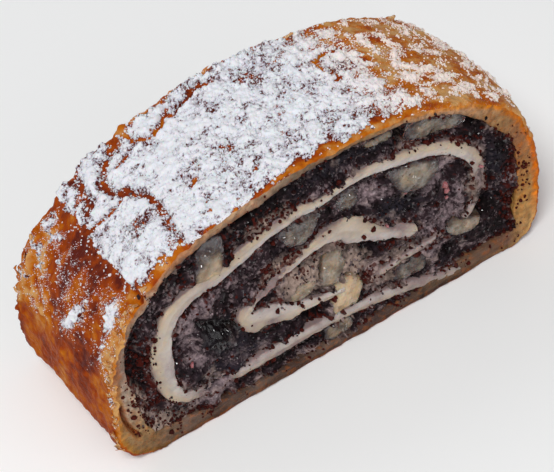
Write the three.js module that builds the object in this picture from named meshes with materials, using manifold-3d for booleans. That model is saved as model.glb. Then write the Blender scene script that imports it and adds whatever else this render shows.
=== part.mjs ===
// A slice of poppy seed strudel, cut across a rolled loaf. One sheet of dough wraps the loaf and
// winds inwards as a spiral, with ground poppy seed filling rolled up in it and pieces of apple in
// the filling. The spiral and the filling run through the slice from one cut to the other.
//
// Millimetres. X runs across the slice, Y from the front cut to the rear cut, Z up from the table.
// Every outline is drawn on the front cut and carried back through the slice by carryBack().

import * as THREE from "three";
import Module from "manifold-3d";

const wasm = await Module();
wasm.setup();

// --- driving dimensions -------------------------------------------------------------------------

const DEPTH = 34.2; // front cut to rear cut
const WIDEST = 14; // height at which the loaf is widest
const FOOT_RADIUS = { left: 9, right: 7 }; // rounding where the sides meet the underside

// The two cuts. left and right reach from the middle line at x = middle. The shoulders are the
// powers of the rounded upper corners: 2 is an ellipse, and more is squarer.
const FRONT_CUT = {
  middle: -2.05, left: 49.8, right: 49.7, height: 52.9, leftShoulder: 2.77, rightShoulder: 2.44,
};
const REAR_CUT = {
  middle: 1.85, left: 54.4, right: 50.4, height: 50.5, leftShoulder: 2.25, rightShoulder: 2.0,
};
const SIDE_SWELL = 1.9; // how far the right side stands out between the cuts
const ROLL_DRIFT = { x: -6, z: 2.5 }; // how far the roll's centre lies off its place at the rear cut

// The outer wall of dough: thin over the top and thicker below, with these uneven places.
const WALL = { top: 2.7, underside: 3.8, thinsOutBy: 20 };
const UNEVEN_PLACES = [
  { x: -50, z: 9, extra: 2.6, reach: 12 }, // left foot, where the sheet is folded under
  { x: -52, z: 28, extra: -0.9, reach: 8 }, // left side
  { x: -6, z: 53, extra: -1.0, reach: 10 }, // crest
  { x: 34, z: 44, extra: 0.5, reach: 18 }, // right shoulder
  { x: 47, z: 14, extra: 3.0, reach: 15 }, // right side
];

// The rolled part of the sheet, from where it leaves the underside to its free end at the middle
// of the roll: x, z and thickness on the front cut.
const ROLLED_SHEET = [
  [28, 2.6, 2.2], [20, 4.4, 2.4], [12, 6.6, 2.6], [3, 8.1, 2.6], [-6, 8.9, 2.4], [-14, 9.0, 3.0],
  [-24, 8.8, 2.5], [-33, 9.0, 2.5], [-38.2, 11.6, 3.0], [-40.3, 16, 3.8], [-40.8, 21, 4.4],
  [-41, 25.5, 4.6], [-40, 29.5, 3.8], [-37.8, 33.6, 3.7], [-33.8, 35.9, 3.3], [-28, 36.8, 2.8],
  [-22, 39.1, 3.2], [-16, 41.2, 2.7], [-10, 41.9, 2.8], [-5, 41.6, 1.9], [1, 42.8, 1.9],
  [7, 42.7, 2.5], [14, 41.2, 2.8], [20, 39.8, 3.0], [25, 37.3, 3.1], [29, 34, 3.3],
  [31.6, 29.5, 3.0], [32.4, 24, 3.0], [31.4, 19, 2.6], [28, 15.4, 2.0], [22, 14.7, 1.7],
  [15, 14.7, 1.6], [8, 14.2, 1.6], [1, 15.2, 1.7], [-6, 16.2, 1.9], [-12, 17.3, 2.9],
  [-17.5, 19.3, 3.6], [-21.6, 21.0, 3.2], [-23.0, 23.2, 2.8], [-20.8, 25.2, 2.5],
  [-17.4, 26.2, 2.6], [-14.2, 28.3, 2.8], [-9.5, 30.4, 2.6], [-4.5, 31.6, 2.9], [0, 31.0, 4.4],
  [3, 28.8, 5.0], [6.5, 26.4, 4.1], [10.5, 24.2, 3.3], [14, 22.2, 3.2], [17, 20.3, 3.0],
];

// Pieces of apple at each cut: place of the middle, half width and half height on the front cut,
// tilt in degrees, and how deep the piece reaches into the slice.
const FRONT_APPLE = [
  { x: -29, z: 41.8, across: 3.2, up: 4.5, tilt: -12, depth: 9 },
  { x: -10, z: 37.1, across: 4.6, up: 2.7, tilt: 8, depth: 8 },
  { x: 0.8, z: 38.0, across: 2.7, up: 2.9, tilt: 0, depth: 7 },
  { x: 16.2, z: 35.2, across: 5.5, up: 3.6, tilt: -16, depth: 11 },
  { x: 21, z: 45.0, across: 6.2, up: 1.9, tilt: -21, depth: 8 },
  { x: 8.6, z: 48.7, across: 3.0, up: 1.0, tilt: -8, depth: 6 },
  { x: 28.6, z: 14.9, across: 4.4, up: 2.5, tilt: -18, depth: 6 },
  { x: -0.2, z: 13.6, across: 3.6, up: 4.2, tilt: 0, depth: 9 },
  { x: -3.4, z: 23.4, across: 2.7, up: 4.9, tilt: 8, depth: 10 },
  { x: -9.9, z: 21.4, across: 3.2, up: 2.2, tilt: -6, depth: 6 },
  { x: -1.6, z: 4.9, across: 3.4, up: 2.2, tilt: 0, depth: 8 },
  { x: 15.6, z: 10.6, across: 4.2, up: 2.2, tilt: -6, depth: 7 },
];
const REAR_APPLE = [
  { x: -31, z: 15, across: 4.6, up: 3.4, tilt: 20, depth: 9 },
  { x: -21, z: 44.4, across: 5.0, up: 2.0, tilt: 14, depth: 8 },
  { x: -25, z: 31, across: 4.2, up: 3.0, tilt: 24, depth: 10 },
  { x: 8, z: 37.2, across: 4.8, up: 3.0, tilt: -8, depth: 9 },
  { x: 36.2, z: 30, across: 1.9, up: 4.2, tilt: 14, depth: 8 },
  { x: 22, z: 27, across: 3.8, up: 3.4, tilt: 0, depth: 11 },
  { x: -4, z: 23.6, across: 4.4, up: 3.0, tilt: -10, depth: 9 },
  { x: -14, z: 12.8, across: 4.4, up: 1.7, tilt: 4, depth: 7 },
];

// A piece of apple narrows by this share at its inner end, and is lumpy by these shares.
const APPLE_NARROWING = 0.55;
const APPLE_LUMPS = { three: 0.09, two: 0.06 };

const GAP = 0.3; // clearance between neighbouring pieces
const OVERRUN = 1; // how far a cutting shape runs past the cuts

// --- fineness -----------------------------------------------------------------------------------

const DEPTH_STEPS = 4;
const SHOULDER_STEPS = 15; // along each rounded upper corner
const FOOT_STEPS = 8; // round each lower corner
const UNDERSIDE_STEPS = 14;
const SHEET_STEPS = 96;
const APPLE_SIDES = 11;
const APPLE_STEPS = 3;

const QUARTER_TURN = 0.5 * Math.PI;
const mix = THREE.MathUtils.lerp;

// --- the slice's form ---------------------------------------------------------------------------

/** The cut's sizes at share t of the way from the front cut to the rear cut. */
function cutAt(t) {
  const cut = {};
  for (const size of Object.keys(FRONT_CUT)) cut[size] = mix(FRONT_CUT[size], REAR_CUT[size], t);
  cut.right += SIDE_SWELL * Math.sin(Math.PI * t);
  return cut;
}

/**
 * Moves a point of the front cut to share t of the way back. The cuts are superellipses above the
 * widest level, so a point keeps its share of the way out to the edge, and its share round it.
 * Towards the centre the roll drifts, by ROLL_DRIFT at the rear cut.
 */
function carryBack(x, z, t) {
  const within = THREE.MathUtils.clamp(t, 0, 1);
  const here = cutAt(within);
  const side = x < FRONT_CUT.middle ? "left" : "right";
  const sign = x < FRONT_CUT.middle ? -1 : 1;
  const power = FRONT_CUT[side + "Shoulder"];
  const across = Math.abs(x - FRONT_CUT.middle) / FRONT_CUT[side];
  const up = Math.max(0, z - WIDEST) / (FRONT_CUT.height - WIDEST);
  const out = (across ** power + up ** power) ** (1 / power);
  const bend = power / here[side + "Shoulder"];
  const newAcross = out > 0 ? out * (across / out) ** bend : 0;
  const newUp = out > 0 ? out * (up / out) ** bend : 0;
  const drift = within * Math.max(0, 1 - out) * THREE.MathUtils.smoothstep(z, 0, WIDEST);
  return new THREE.Vector3(
    here.middle + sign * here[side] * newAcross + ROLL_DRIFT.x * drift,
    (t - 0.5) * DEPTH,
    Math.min(z, WIDEST) + (here.height - WIDEST) * newUp + ROLL_DRIFT.z * drift,
  );
}

/** Thickness of the outer wall of dough at a point of the loaf's outline. */
function wallThickness({ x, y: z }) {
  const thinning = THREE.MathUtils.smoothstep(z, 0, WALL.thinsOutBy);
  let thickness = mix(WALL.underside, WALL.top, thinning);
  for (const place of UNEVEN_PLACES) {
    const distance = Math.hypot(x - place.x, z - place.z);
    thickness += place.extra * Math.exp(-((distance / place.reach) ** 2));
  }
  return thickness;
}

/** The loaf's outline on the front cut, anticlockwise from the right side at its widest level. */
function loafOutline() {
  const { middle, left, right, height, leftShoulder, rightShoulder } = FRONT_CUT;
  const points = [];
  const shoulder = (reach, power, angle) => points.push(new THREE.Vector2(
    middle + reach * Math.abs(Math.cos(angle)) ** (2 / power),
    WIDEST + (height - WIDEST) * Math.sin(angle) ** (2 / power),
  ));
  const foot = (cornerX, radius, from) => {
    for (let i = 0; i <= FOOT_STEPS; i++) {
      const angle = from + (QUARTER_TURN * i) / FOOT_STEPS;
      points.push(new THREE.Vector2(
        cornerX + radius * Math.cos(angle), radius * (1 + Math.sin(angle)),
      ));
    }
  };
  for (let i = 0; i < SHOULDER_STEPS; i++) {
    shoulder(right, rightShoulder, (QUARTER_TURN * i) / SHOULDER_STEPS);
  }
  for (let i = 0; i <= SHOULDER_STEPS; i++) {
    shoulder(-left, leftShoulder, QUARTER_TURN * (1 - i / SHOULDER_STEPS));
  }
  const leftCorner = middle - left + FOOT_RADIUS.left;
  const rightCorner = middle + right - FOOT_RADIUS.right;
  foot(leftCorner, FOOT_RADIUS.left, 2 * QUARTER_TURN);
  for (let i = 1; i < UNDERSIDE_STEPS; i++) {
    points.push(new THREE.Vector2(mix(leftCorner, rightCorner, i / UNDERSIDE_STEPS), 0));
  }
  foot(rightCorner, FOOT_RADIUS.right, 3 * QUARTER_TURN);
  return points;
}

/** The outline moved inwards by the wall's thickness and a clearance. */
function innerOutline(outline, clearance) {
  return outline.map((point, i) => {
    const next = outline[(i + 1) % outline.length];
    const last = outline[(i + outline.length - 1) % outline.length];
    const along = next.clone().sub(last).normalize();
    const inwards = new THREE.Vector2(-along.y, along.x);
    return point.clone().addScaledVector(inwards, wallThickness(point) + clearance);
  });
}

// --- solids -------------------------------------------------------------------------------------

/**
 * A closed solid through rings of points, each anticlockwise seen from the front, from the front
 * ring to the rear one. cap lists the triangles that close the front ring.
 */
function loft(rings, cap) {
  const count = rings[0].length;
  const triangles = [];
  for (let k = 0; k + 1 < rings.length; k++) {
    for (let i = 0; i < count; i++) {
      const next = (i + 1) % count;
      const [a, b] = [k * count + i, k * count + next];
      const [c, d] = [b + count, a + count];
      triangles.push(a, d, c, a, c, b);
    }
  }
  const rear = (rings.length - 1) * count;
  for (const [a, b, c] of cap) triangles.push(a, b, c, rear + a, rear + c, rear + b);
  return new wasm.Manifold(new wasm.Mesh({
    numProp: 3,
    vertProperties: new Float32Array(rings.flat().flatMap((point) => point.toArray())),
    triVerts: new Uint32Array(triangles),
  }));
}

/** The shares of the depth at which a solid that runs through the slice has a ring. */
function ringPlaces(overrun) {
  const places = [];
  for (let i = 0; i <= DEPTH_STEPS; i++) places.push(i / DEPTH_STEPS);
  return overrun > 0 ? [-overrun / DEPTH, ...places, 1 + overrun / DEPTH] : places;
}

/** A solid with this outline on the front cut, carried right through the slice. */
function throughSlice(outline, overrun, cap = THREE.ShapeUtils.triangulateShape(outline, [])) {
  return loft(ringPlaces(overrun).map((t) => outline.map(({ x, y }) => carryBack(x, y, t))), cap);
}

/** The rolled part of the sheet, made thicker and longer all round by a clearance. */
function rolledSheet(clearance) {
  const path = new THREE.CatmullRomCurve3(
    ROLLED_SHEET.map(([x, z, thickness]) => new THREE.Vector3(x, z, thickness)),
  );
  const [upperSide, lowerSide] = [[], []];
  for (let i = 0; i <= SHEET_STEPS; i++) {
    const { x, y: z, z: thickness } = path.getPoint(i / SHEET_STEPS);
    const { x: alongX, y: alongZ } = path.getTangent(i / SHEET_STEPS);
    const along = new THREE.Vector2(alongX, alongZ).normalize();
    const aside = new THREE.Vector2(-along.y, along.x).multiplyScalar(thickness / 2 + clearance);
    const centre = new THREE.Vector2(x, z);
    if (i === SHEET_STEPS) centre.addScaledVector(along, clearance);
    upperSide.push(centre.clone().add(aside));
    lowerSide.push(centre.clone().sub(aside));
  }
  const last = 2 * SHEET_STEPS + 1;
  const cap = [];
  for (let i = 0; i < SHEET_STEPS; i++) {
    cap.push([i, i + 1, last - i - 1], [i, last - i - 1, last - i]);
  }
  return throughSlice([...lowerSide, ...upperSide.reverse()], 2 * OVERRUN, cap);
}

/**
 * A piece of apple that the knife went through: a lumpy rounded block with its cut face at the
 * front cut (cutFace 0) or the rear cut (cutFace 1), narrowing into the slice.
 */
function appleBlock({ x, z, across, up, tilt, depth }, cutFace, clearance) {
  const turn = THREE.MathUtils.degToRad(tilt);
  const centre = new THREE.Vector2(x, z);
  const inwards = cutFace === 0 ? 1 : -1;
  const ring = (share, t) => {
    const narrowing = 1 - APPLE_NARROWING * share ** 3;
    const points = [];
    for (let i = 0; i < APPLE_SIDES; i++) {
      const angle = (4 * QUARTER_TURN * i) / APPLE_SIDES;
      const lump =
        1 + APPLE_LUMPS.three * Math.cos(3 * angle + x) + APPLE_LUMPS.two * Math.cos(2 * angle + z);
      const point = new THREE.Vector2(
        (across * lump * narrowing + clearance) * Math.cos(angle),
        (up * lump * narrowing + clearance) * Math.sin(angle),
      );
      point.rotateAround(new THREE.Vector2(), turn).add(centre);
      points.push(carryBack(point.x, point.y, t));
    }
    return points;
  };
  const rings = [];
  if (clearance > 0) rings.push(ring(0, cutFace - (inwards * OVERRUN) / DEPTH));
  for (let i = 0; i <= APPLE_STEPS; i++) {
    const share = i / APPLE_STEPS;
    rings.push(ring(share, cutFace + (inwards * share * (depth + clearance)) / DEPTH));
  }
  if (cutFace === 1) rings.reverse();
  const cap = [];
  for (let i = 1; i + 1 < APPLE_SIDES; i++) cap.push([0, i, i + 1]);
  return loft(rings, cap);
}

// --- the pieces ---------------------------------------------------------------------------------

const MATERIALS = {
  dough: new THREE.MeshStandardMaterial({ color: 0xc79a62, roughness: 0.6, metalness: 0 }),
  filling: new THREE.MeshStandardMaterial({ color: 0x3a3034, roughness: 0.75, metalness: 0 }),
  apple: new THREE.MeshStandardMaterial({ color: 0xa39a7c, roughness: 0.35, metalness: 0 }),
};

/** A named mesh of a solid. */
function piece(name, solid, material) {
  const { vertProperties, triVerts } = solid.getMesh();
  const geometry = new THREE.BufferGeometry();
  geometry.setAttribute("position", new THREE.BufferAttribute(vertProperties, 3));
  geometry.setIndex(new THREE.BufferAttribute(triVerts, 1));
  geometry.computeVertexNormals();
  const mesh = new THREE.Mesh(geometry, material);
  mesh.name = name;
  return mesh;
}

const outline = loafOutline();
const loaf = throughSlice(outline, 0);
const room = throughSlice(innerOutline(outline, 0), OVERRUN);
const snugRoom = throughSlice(innerOutline(outline, GAP), OVERRUN);

let dough = loaf.subtract(room.subtract(rolledSheet(0)));
let filling = loaf.intersect(snugRoom.subtract(rolledSheet(GAP)));

const strudel = new THREE.Group();
for (const [label, blocks, cutFace] of [["front", FRONT_APPLE, 0], ["rear", REAR_APPLE, 1]]) {
  blocks.forEach((block, i) => {
    const hollow = appleBlock(block, cutFace, GAP);
    dough = dough.subtract(hollow);
    filling = filling.subtract(hollow);
    const name = `apple_${label}_${i + 1}`;
    strudel.add(piece(name, appleBlock(block, cutFace, 0), MATERIALS.apple));
  });
}
strudel.add(piece("rolled_dough", dough, MATERIALS.dough));
strudel.add(piece("poppy_filling", filling, MATERIALS.filling));

// The slice stands on its underside, with the origin under the middle of its box.
const box = new THREE.Box3().setFromObject(strudel);
const middle = box.getCenter(new THREE.Vector3());
strudel.position.set(-middle.x, -middle.y, -box.min.z);

export default strudel;
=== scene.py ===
"""The looks of a slice of poppy seed strudel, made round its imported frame.

Lengths are millimetres until a mesh is written, where they turn to metres. A point of a cut is
given by x across and z up, both on the front cut, and carry_back() takes it through the slice, so
every piece follows the loaf. A point of the crust is given by its arc, the way round the loaf from
the widest level of the left side, over the top, and by how far back it lies from the front cut.
"""

from functools import partial, wraps

import bpy
import numpy as np
from mathutils import Matrix, Vector


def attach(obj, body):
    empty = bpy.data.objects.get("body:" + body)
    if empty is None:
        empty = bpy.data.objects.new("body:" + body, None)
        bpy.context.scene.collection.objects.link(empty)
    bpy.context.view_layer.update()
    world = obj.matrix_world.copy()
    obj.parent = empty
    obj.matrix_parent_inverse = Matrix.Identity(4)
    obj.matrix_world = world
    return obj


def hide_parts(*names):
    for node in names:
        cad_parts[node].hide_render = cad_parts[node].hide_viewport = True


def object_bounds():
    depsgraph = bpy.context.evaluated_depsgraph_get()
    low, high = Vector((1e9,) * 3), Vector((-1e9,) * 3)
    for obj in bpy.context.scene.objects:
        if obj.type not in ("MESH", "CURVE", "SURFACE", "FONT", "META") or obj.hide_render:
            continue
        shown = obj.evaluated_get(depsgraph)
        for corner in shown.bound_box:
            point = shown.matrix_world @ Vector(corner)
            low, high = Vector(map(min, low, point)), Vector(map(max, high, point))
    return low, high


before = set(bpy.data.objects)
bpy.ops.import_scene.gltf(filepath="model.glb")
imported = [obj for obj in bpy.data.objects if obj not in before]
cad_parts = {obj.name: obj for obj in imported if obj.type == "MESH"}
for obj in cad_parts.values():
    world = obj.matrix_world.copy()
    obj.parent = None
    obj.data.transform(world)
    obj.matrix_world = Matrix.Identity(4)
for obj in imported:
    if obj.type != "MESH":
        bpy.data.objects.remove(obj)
CAD_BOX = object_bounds()

bl_info = {
    "name": "Poppy Seed Strudel Slice",
    "version": (1, 0, 0),
    "blender": (4, 5, 0),
    "location": "3D View > Sidebar > Strudel",
    "description": "Makes the crust, rolled dough, filling, apple and icing sugar of a slice",
    "category": "Mesh",
}

# --- the slice's form, the same as in the part's solids -----------------------------------------

MM = 0.001
LOW, HIGH = np.array(CAD_BOX) / MM
DEPTH = HIGH[1] - LOW[1]
WIDEST = 14  # height at which the loaf is widest
FOOT_RADIUS = {"left": 9, "right": 7}
PROUD = 1  # nothing stands further than this in front of a cut

# Each size at the front cut and at the rear cut. The shoulders are powers of a superellipse.
CUTS = {
    "middle": (-2.05, 1.85),
    "left": (49.8, 54.4),
    "right": (49.7, 50.4),
    "height": (52.9, 50.5),
    "left_shoulder": (2.77, 2.25),
    "right_shoulder": (2.44, 2),
}
SIDE_SWELL = 1.9  # how much further the right side bulges halfway back
ROLL_DRIFT = (-6, 2.5)  # how far the middle of the roll moves, across and up, towards the rear
SHIFT = LOW[0] - (CUTS["middle"][1] - CUTS["left"][1])

# Thickness of the outer wall of dough by arc: thin over the top and the left shoulder, thick at
# the right side and at both feet.
WALL_BY_ARC = (
    (-60, 2.6), (-40, 3), (-30, 4.2), (-22, 5.3), (-13, 6.2), (-5, 6), (0, 5.2), (6, 3.7),
    (11, 2.6), (18, 1.6), (22, 1.6), (27, 2.2), (37, 2.3), (50, 2.8), (58, 3.2), (66, 2.1),
    (72, 1.7), (84, 2), (96, 2.5), (104, 3), (112, 4.2), (120, 4.9), (130, 4.6), (140, 5.6),
    (150, 6), (158, 5), (166, 4.6), (178, 4.8), (190, 3.4), (207, 2.6),
)

# The rolled part of the sheet of dough, from the underside to its free end: x, z, thickness.
ROLLED_SHEET = (
    (28, 2.6, 2.2), (20, 4.4, 2.4), (12, 6.6, 2.6), (3, 8.1, 2.6), (-6, 8.9, 2.4), (-14, 9, 3),
    (-24, 8.8, 2.5), (-33, 9, 2.5), (-38.2, 11.6, 3), (-40.3, 16, 3.8), (-40.8, 21, 4.4),
    (-41, 25.5, 4.6), (-40, 29.5, 3.8), (-37.8, 33.6, 3.7), (-33.8, 35.9, 3.3), (-28, 36.8, 2.8),
    (-22, 39.1, 3.2), (-16, 41.2, 2.7), (-10, 41.9, 2.8), (-5, 41.6, 1.9), (1, 42.8, 1.9),
    (7, 42.7, 2.5), (14, 41.2, 2.8), (20, 39.8, 3), (25, 37.3, 3.1), (29, 34, 3.3), (31.6, 29.5, 3),
    (32.4, 24, 3), (31.4, 19, 2.6), (28, 15.4, 2), (22, 14.7, 1.7), (15, 14.7, 1.6), (8, 14.2, 1.6),
    (1, 15.2, 1.7), (-6, 16.2, 1.9), (-12, 17.3, 2.9), (-17.5, 19.3, 3.6), (-21.6, 21, 3.2),
    (-23, 23.2, 2.6), (-20.8, 25.2, 1.8), (-17.4, 26.2, 1.6), (-14.2, 28.3, 1.7), (-9.5, 30.4, 2.2),
    (-4.5, 31.6, 2.9), (0, 31, 4.4), (3, 28.8, 5), (6.5, 26.4, 4.1), (10.5, 24.2, 3.3),
    (14, 22.2, 3.2), (17, 20.3, 3),
)

SHEET_SWELLS = (  # the rolled sheet is so much thicker here: x, z, half width and height, tilt
    (-19.5, 20.6, 3.2, 2.6, 0, 1.8), (-13, 17.8, 4, 2.2, 0, 1.2), (-21.5, 23.6, 2.5, 1.4, 0, 0.5),
    (0.5, 31, 4, 3, 0, 0.9), (5, 28, 3, 3, 0, 0.5),
)

# Pieces of apple: the outline of the cut face, how deep the piece reaches, and its looks: cream
# from 0, grey green, to 1, and shade from 0, pale, to 1, dark.
FRONT_APPLE = (
    (((-32, 45.3), (-30.2, 46.4), (-27.5, 47.2), (-25.9, 45.8), (-25.8, 42.8), (-26.2, 39.2),
      (-27.7, 37), (-30.2, 36.6), (-32, 37.6), (-32.3, 40), (-31.9, 42.6)), 9, 0.6, 0.75),
    (((-14.4, 38.9), (-13.8, 36.4), (-12.2, 34.3), (-9.8, 33.4), (-7.4, 34.2), (-6, 36),
      (-5.1, 38.6), (-5.6, 40.3), (-8, 40.9), (-10.5, 40.6), (-12.8, 40)), 8, 0.1, 0.95),
    (((-1.8, 39), (-1.2, 36.6), (0.6, 35.2), (2.8, 35.6), (3.6, 37.8), (3.2, 40), (1.4, 41.1),
      (-0.6, 40.9)), 7, 0.1, 1.15),
    (((10.3, 39), (10.9, 36.8), (12.2, 34.6), (13.8, 32.5), (16, 31.4), (18.5, 31.1), (20.6, 31.8),
      (22.1, 33.4), (22.2, 35.6), (20.8, 37.3), (18, 38.5), (14.5, 39.4), (11.8, 39.8)),
     11, 0.2, 0.65),
    (((14.2, 46.6), (15.2, 44.4), (18, 43.4), (21, 42.9), (24, 42.2), (27, 41.4), (28.6, 41.9),
      (28.3, 43.6), (26, 45.2), (23, 46.7), (19.6, 47.9), (16.4, 48.4)), 8, 0.35, 0.8),
    (((4.6, 49.6), (5.2, 48.4), (8, 47.9), (11, 47.7), (11.7, 48.8), (10.8, 49.8), (8, 50.1)),
     6, 0.4, 0.7),
    (((24.3, 16.4), (24.9, 14.6), (26.6, 12.8), (29.4, 11.9), (32, 12.2), (33.1, 13.7),
      (31.9, 15.2), (29.6, 15.8), (27.6, 17.2), (25.8, 18.1)), 6, 0.45, 0.65),
    (((-2.6, 17.4), (-3.4, 15), (-3.7, 12), (-3.2, 9.8), (-0.5, 9.3), (2.4, 9.6), (3.6, 11.8),
      (3.9, 14.4), (2.9, 16.8), (0.8, 18.3), (-1.4, 18.4)), 9, 0.95, 0.2),
    (((-5.8, 20.5), (-5.6, 24), (-4.9, 27), (-3, 28.6), (-1.2, 27.6), (-0.3, 25), (0.1, 22),
      (-0.9, 19.4), (-2.6, 18.2), (-4.6, 18.7)), 10, 0.45, 0.5),
    (((-13.4, 20.6), (-12.6, 22.6), (-10.4, 23.6), (-7.6, 23.2), (-6.4, 21.4), (-7.2, 19.6),
      (-9.8, 18.9), (-12.2, 19.2)), 6, 0.6, 0.5),
    (((-5.1, 6.8), (-5.3, 4), (-3.6, 2.5), (-0.6, 2.3), (1.6, 3.4), (2, 5.6), (0.8, 7.2),
      (-2, 7.6)), 8, 0.7, 0.85),
    (((11.6, 11), (12, 9), (14, 8.1), (17, 7.9), (19.6, 8.4), (20.1, 10.6), (19.2, 12.6),
      (16.4, 13.3), (13.2, 12.8)), 7, 0.35, 0.95),
)
REAR_APPLE = (  # middle x and z, half width, half height, tilt in degrees, depth, cream, shade
    (-31, 15, 4.6, 3.4, 20, 9, 0.5, 0.3), (-21, 44.4, 5, 2, 14, 8, 0.3, 0.5),
    (-25, 31, 4.2, 3, 24, 10, 0.8, 0.25), (8, 37.2, 4.8, 3, -8, 9, 0.2, 0.45),
    (36.2, 30, 1.9, 4.2, 14, 8, 0.4, 0.5), (22, 27, 3.8, 3.4, 0, 11, 0.7, 0.2),
    (-4, 23.6, 4.4, 3, -10, 9, 0.3, 0.4), (-14, 12.8, 4.4, 1.7, 4, 7, 0.5, 0.6),
)

FRONT, REAR = 0, 1  # the two cut faces

# --- what lies where on the front cut: x, z, half width, half height, tilt in degrees, strength ---

HOLLOWS = (  # the filling lies deeper here, by so many millimetres
    (-7.4, 12.6, 3, 2.6, -20, 1.4), (34.6, 15.6, 2.8, 1.6, 0, 3.2),
    (-29.5, 24.5, 4.6, 1.3, -42, 1.6), (-24.5, 20, 4.2, 1.7, -35, 2.2), (-22, 47.3, 6, 0.9, 8, 1.6),
    (13.6, 47.2, 1.5, 2.6, 8, 2.2), (30.2, 41.6, 3.4, 1, -42, 1.8), (-46.2, 26, 1.4, 5, 8, 1.4),
    (-44.8, 19.5, 1.1, 3.6, 12, 1.4), (25.2, 31.5, 2.2, 1.6, -30, 1.4),
    (6.5, 22.6, 3.4, 1.2, -30, 1.2), (38.5, 14, 2.4, 3.6, 10, 1),
)
RISES = (  # lumps of filling that stand forward
    (-28, 18, 3.6, 3.2, 0, 0.8), (-4.4, 44.6, 1.5, 1.5, 0, 0.8), (20, 27.5, 7, 2.6, -14, 0.5),
    (-22, 31.5, 4, 3, 40, 0.5), (38, 30, 2, 5, 0, 0.3),
)
WET_PLACES = (  # hollows where the filling is wet and glints
    (-28.2, 20.6, 4.2, 2.8, -30, 1), (-23.2, 20, 3.4, 1.4, -35, 1), (-30.8, 25, 3, 1.2, -42, 0.8),
    (-26.5, 30.5, 1.6, 1.6, 0, 0.5),
)
PAINTED_SHADE_PLACES = (  # painted shade in clefts, hollows and on the filling under the wall
    (-24.5, 21.5, 6, 2.6, -38, 1), (-22, 46.6, 6, 1.8, 8, 0.9), (0, 48.6, 12, 2.2, 0, 0.8),
    (13.6, 46.8, 1.8, 3, 8, 1), (30, 41, 5, 1.8, -42, 0.9), (36.5, 28, 3, 7, 8, 0.9),
    (34.5, 15.5, 3, 2.2, 0, 1), (-7.4, 12.6, 3.2, 2.6, -20, 1), (-46, 27.5, 2.4, 7, 6, 0.9),
    (-38, 42.5, 3, 1.6, 45, 0.6), (12, 29.6, 8, 2.8, -20, 0.8), (-38, 41, 4, 2.6, 40, 0.5),
    (-18, 45, 6, 2.4, 8, 0.6), (38, 9.6, 4, 4, 0, 0.7), (4, 23.4, 4, 2.2, -30, 0.5),
    (-15, 5.8, 9, 1.2, 0, 0.6), (6, 22.8, 4, 1.4, -35, 0.8), (27, 9.5, 8, 2, -8, 0.5),
    (-10, 6, 8, 1.4, 0, 0.6),
)
MILKY_PLACES = (  # filling mixed with dough, pinkish tan
    (-46.4, 14, 1.7, 8, 8, 1), (-42, 6.6, 5.5, 3, -22, 0.9), (12, 11.5, 8, 2.2, -8, 0.6),
    (-9, 23.5, 5, 4.2, 0, 1.4), (2.5, 19.5, 3, 3, 0, 0.9), (-2.5, 24, 3, 5, 0, 0.8),
    (1.5, 21, 1.8, 4, 0, 0.6), (31, 24.5, 2.6, 6, 0, 0.5), (-14, 30, 5, 2.6, 20, 0.9),
    (-17, 43.8, 5, 1.4, 10, 0.7), (18, 45, 6, 2.4, -14, 0.5), (12, 17, 6, 2.2, 0, 0.55),
    (15, 31.6, 1.4, 1.2, 0, 0.9), (-31, 12.6, 3, 2, 0, 0.4), (42.6, 20, 1.4, 8, 0, 0.5),
)
WALL_COVERS = (  # filling smeared over the cut wall
    (-16, 3.4, 8, 1.5, 0, 1.5), (-33, 4.6, 6, 1.4, 0, 1.2), (-48.4, 28, 1.2, 6, 0, 1),
    (6, 2.6, 6, 1, 0, 0.9), (43.6, 24, 1.4, 6, 0, 0.9), (-4, 50.6, 8, 0.8, 0, 1.2),
)
PALE_PLACES = (  # greyer, softer looking filling, in part a painted sheen on lumps
    (-35.5, 26.5, 2.6, 4, 0, 0.6), (-32, 31.8, 3.2, 1.6, 20, 0.7), (-29, 16.5, 4, 4, 0, 0.5),
    (-28.5, 6.5, 3.4, 3, 0, 0.9), (-33, 17.6, 1.2, 2, 20, 0.7), (-4.4, 44.4, 1.6, 1.6, 0, 0.5),
    (10.5, 34.6, 3.6, 2, -20, 0.7), (5, 37, 3, 3, 0, 0.6), (22, 19, 5, 3.4, 0, 0.7),
    (27.4, 24.4, 0.9, 3.4, 12, 0.9), (32.4, 26, 1.5, 5, 6, 0.7), (9, 16.2, 3.4, 1.8, 0, 0.8),
    (1.4, 23.6, 1.4, 1, 0, 1), (-44.6, 10.5, 1.6, 3.2, 20, 0.7), (20.6, 30.4, 3, 1.6, 10, 0.9),
    (24.5, 34, 2.4, 2.4, -30, 0.6), (-20.5, 29, 2.6, 3, 20, 0.4), (36, 32.6, 2, 2.6, 0, 0.3),
    (19, 12, 4, 2, 0, 0.5),
)
BLUE_PLACES = (  # slate blue, with few husks
    (12, 29.5, 8, 3, -20, 1), (-26, 12.5, 8, 4, 0, 0.9), (-28, 20.5, 6, 4, -30, 1),
    (0, 47.6, 10, 2.4, 0, 0.8), (36, 27, 3, 6, 8, 0.8), (26, 34, 3, 3, 0, 0.6),
)
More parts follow.
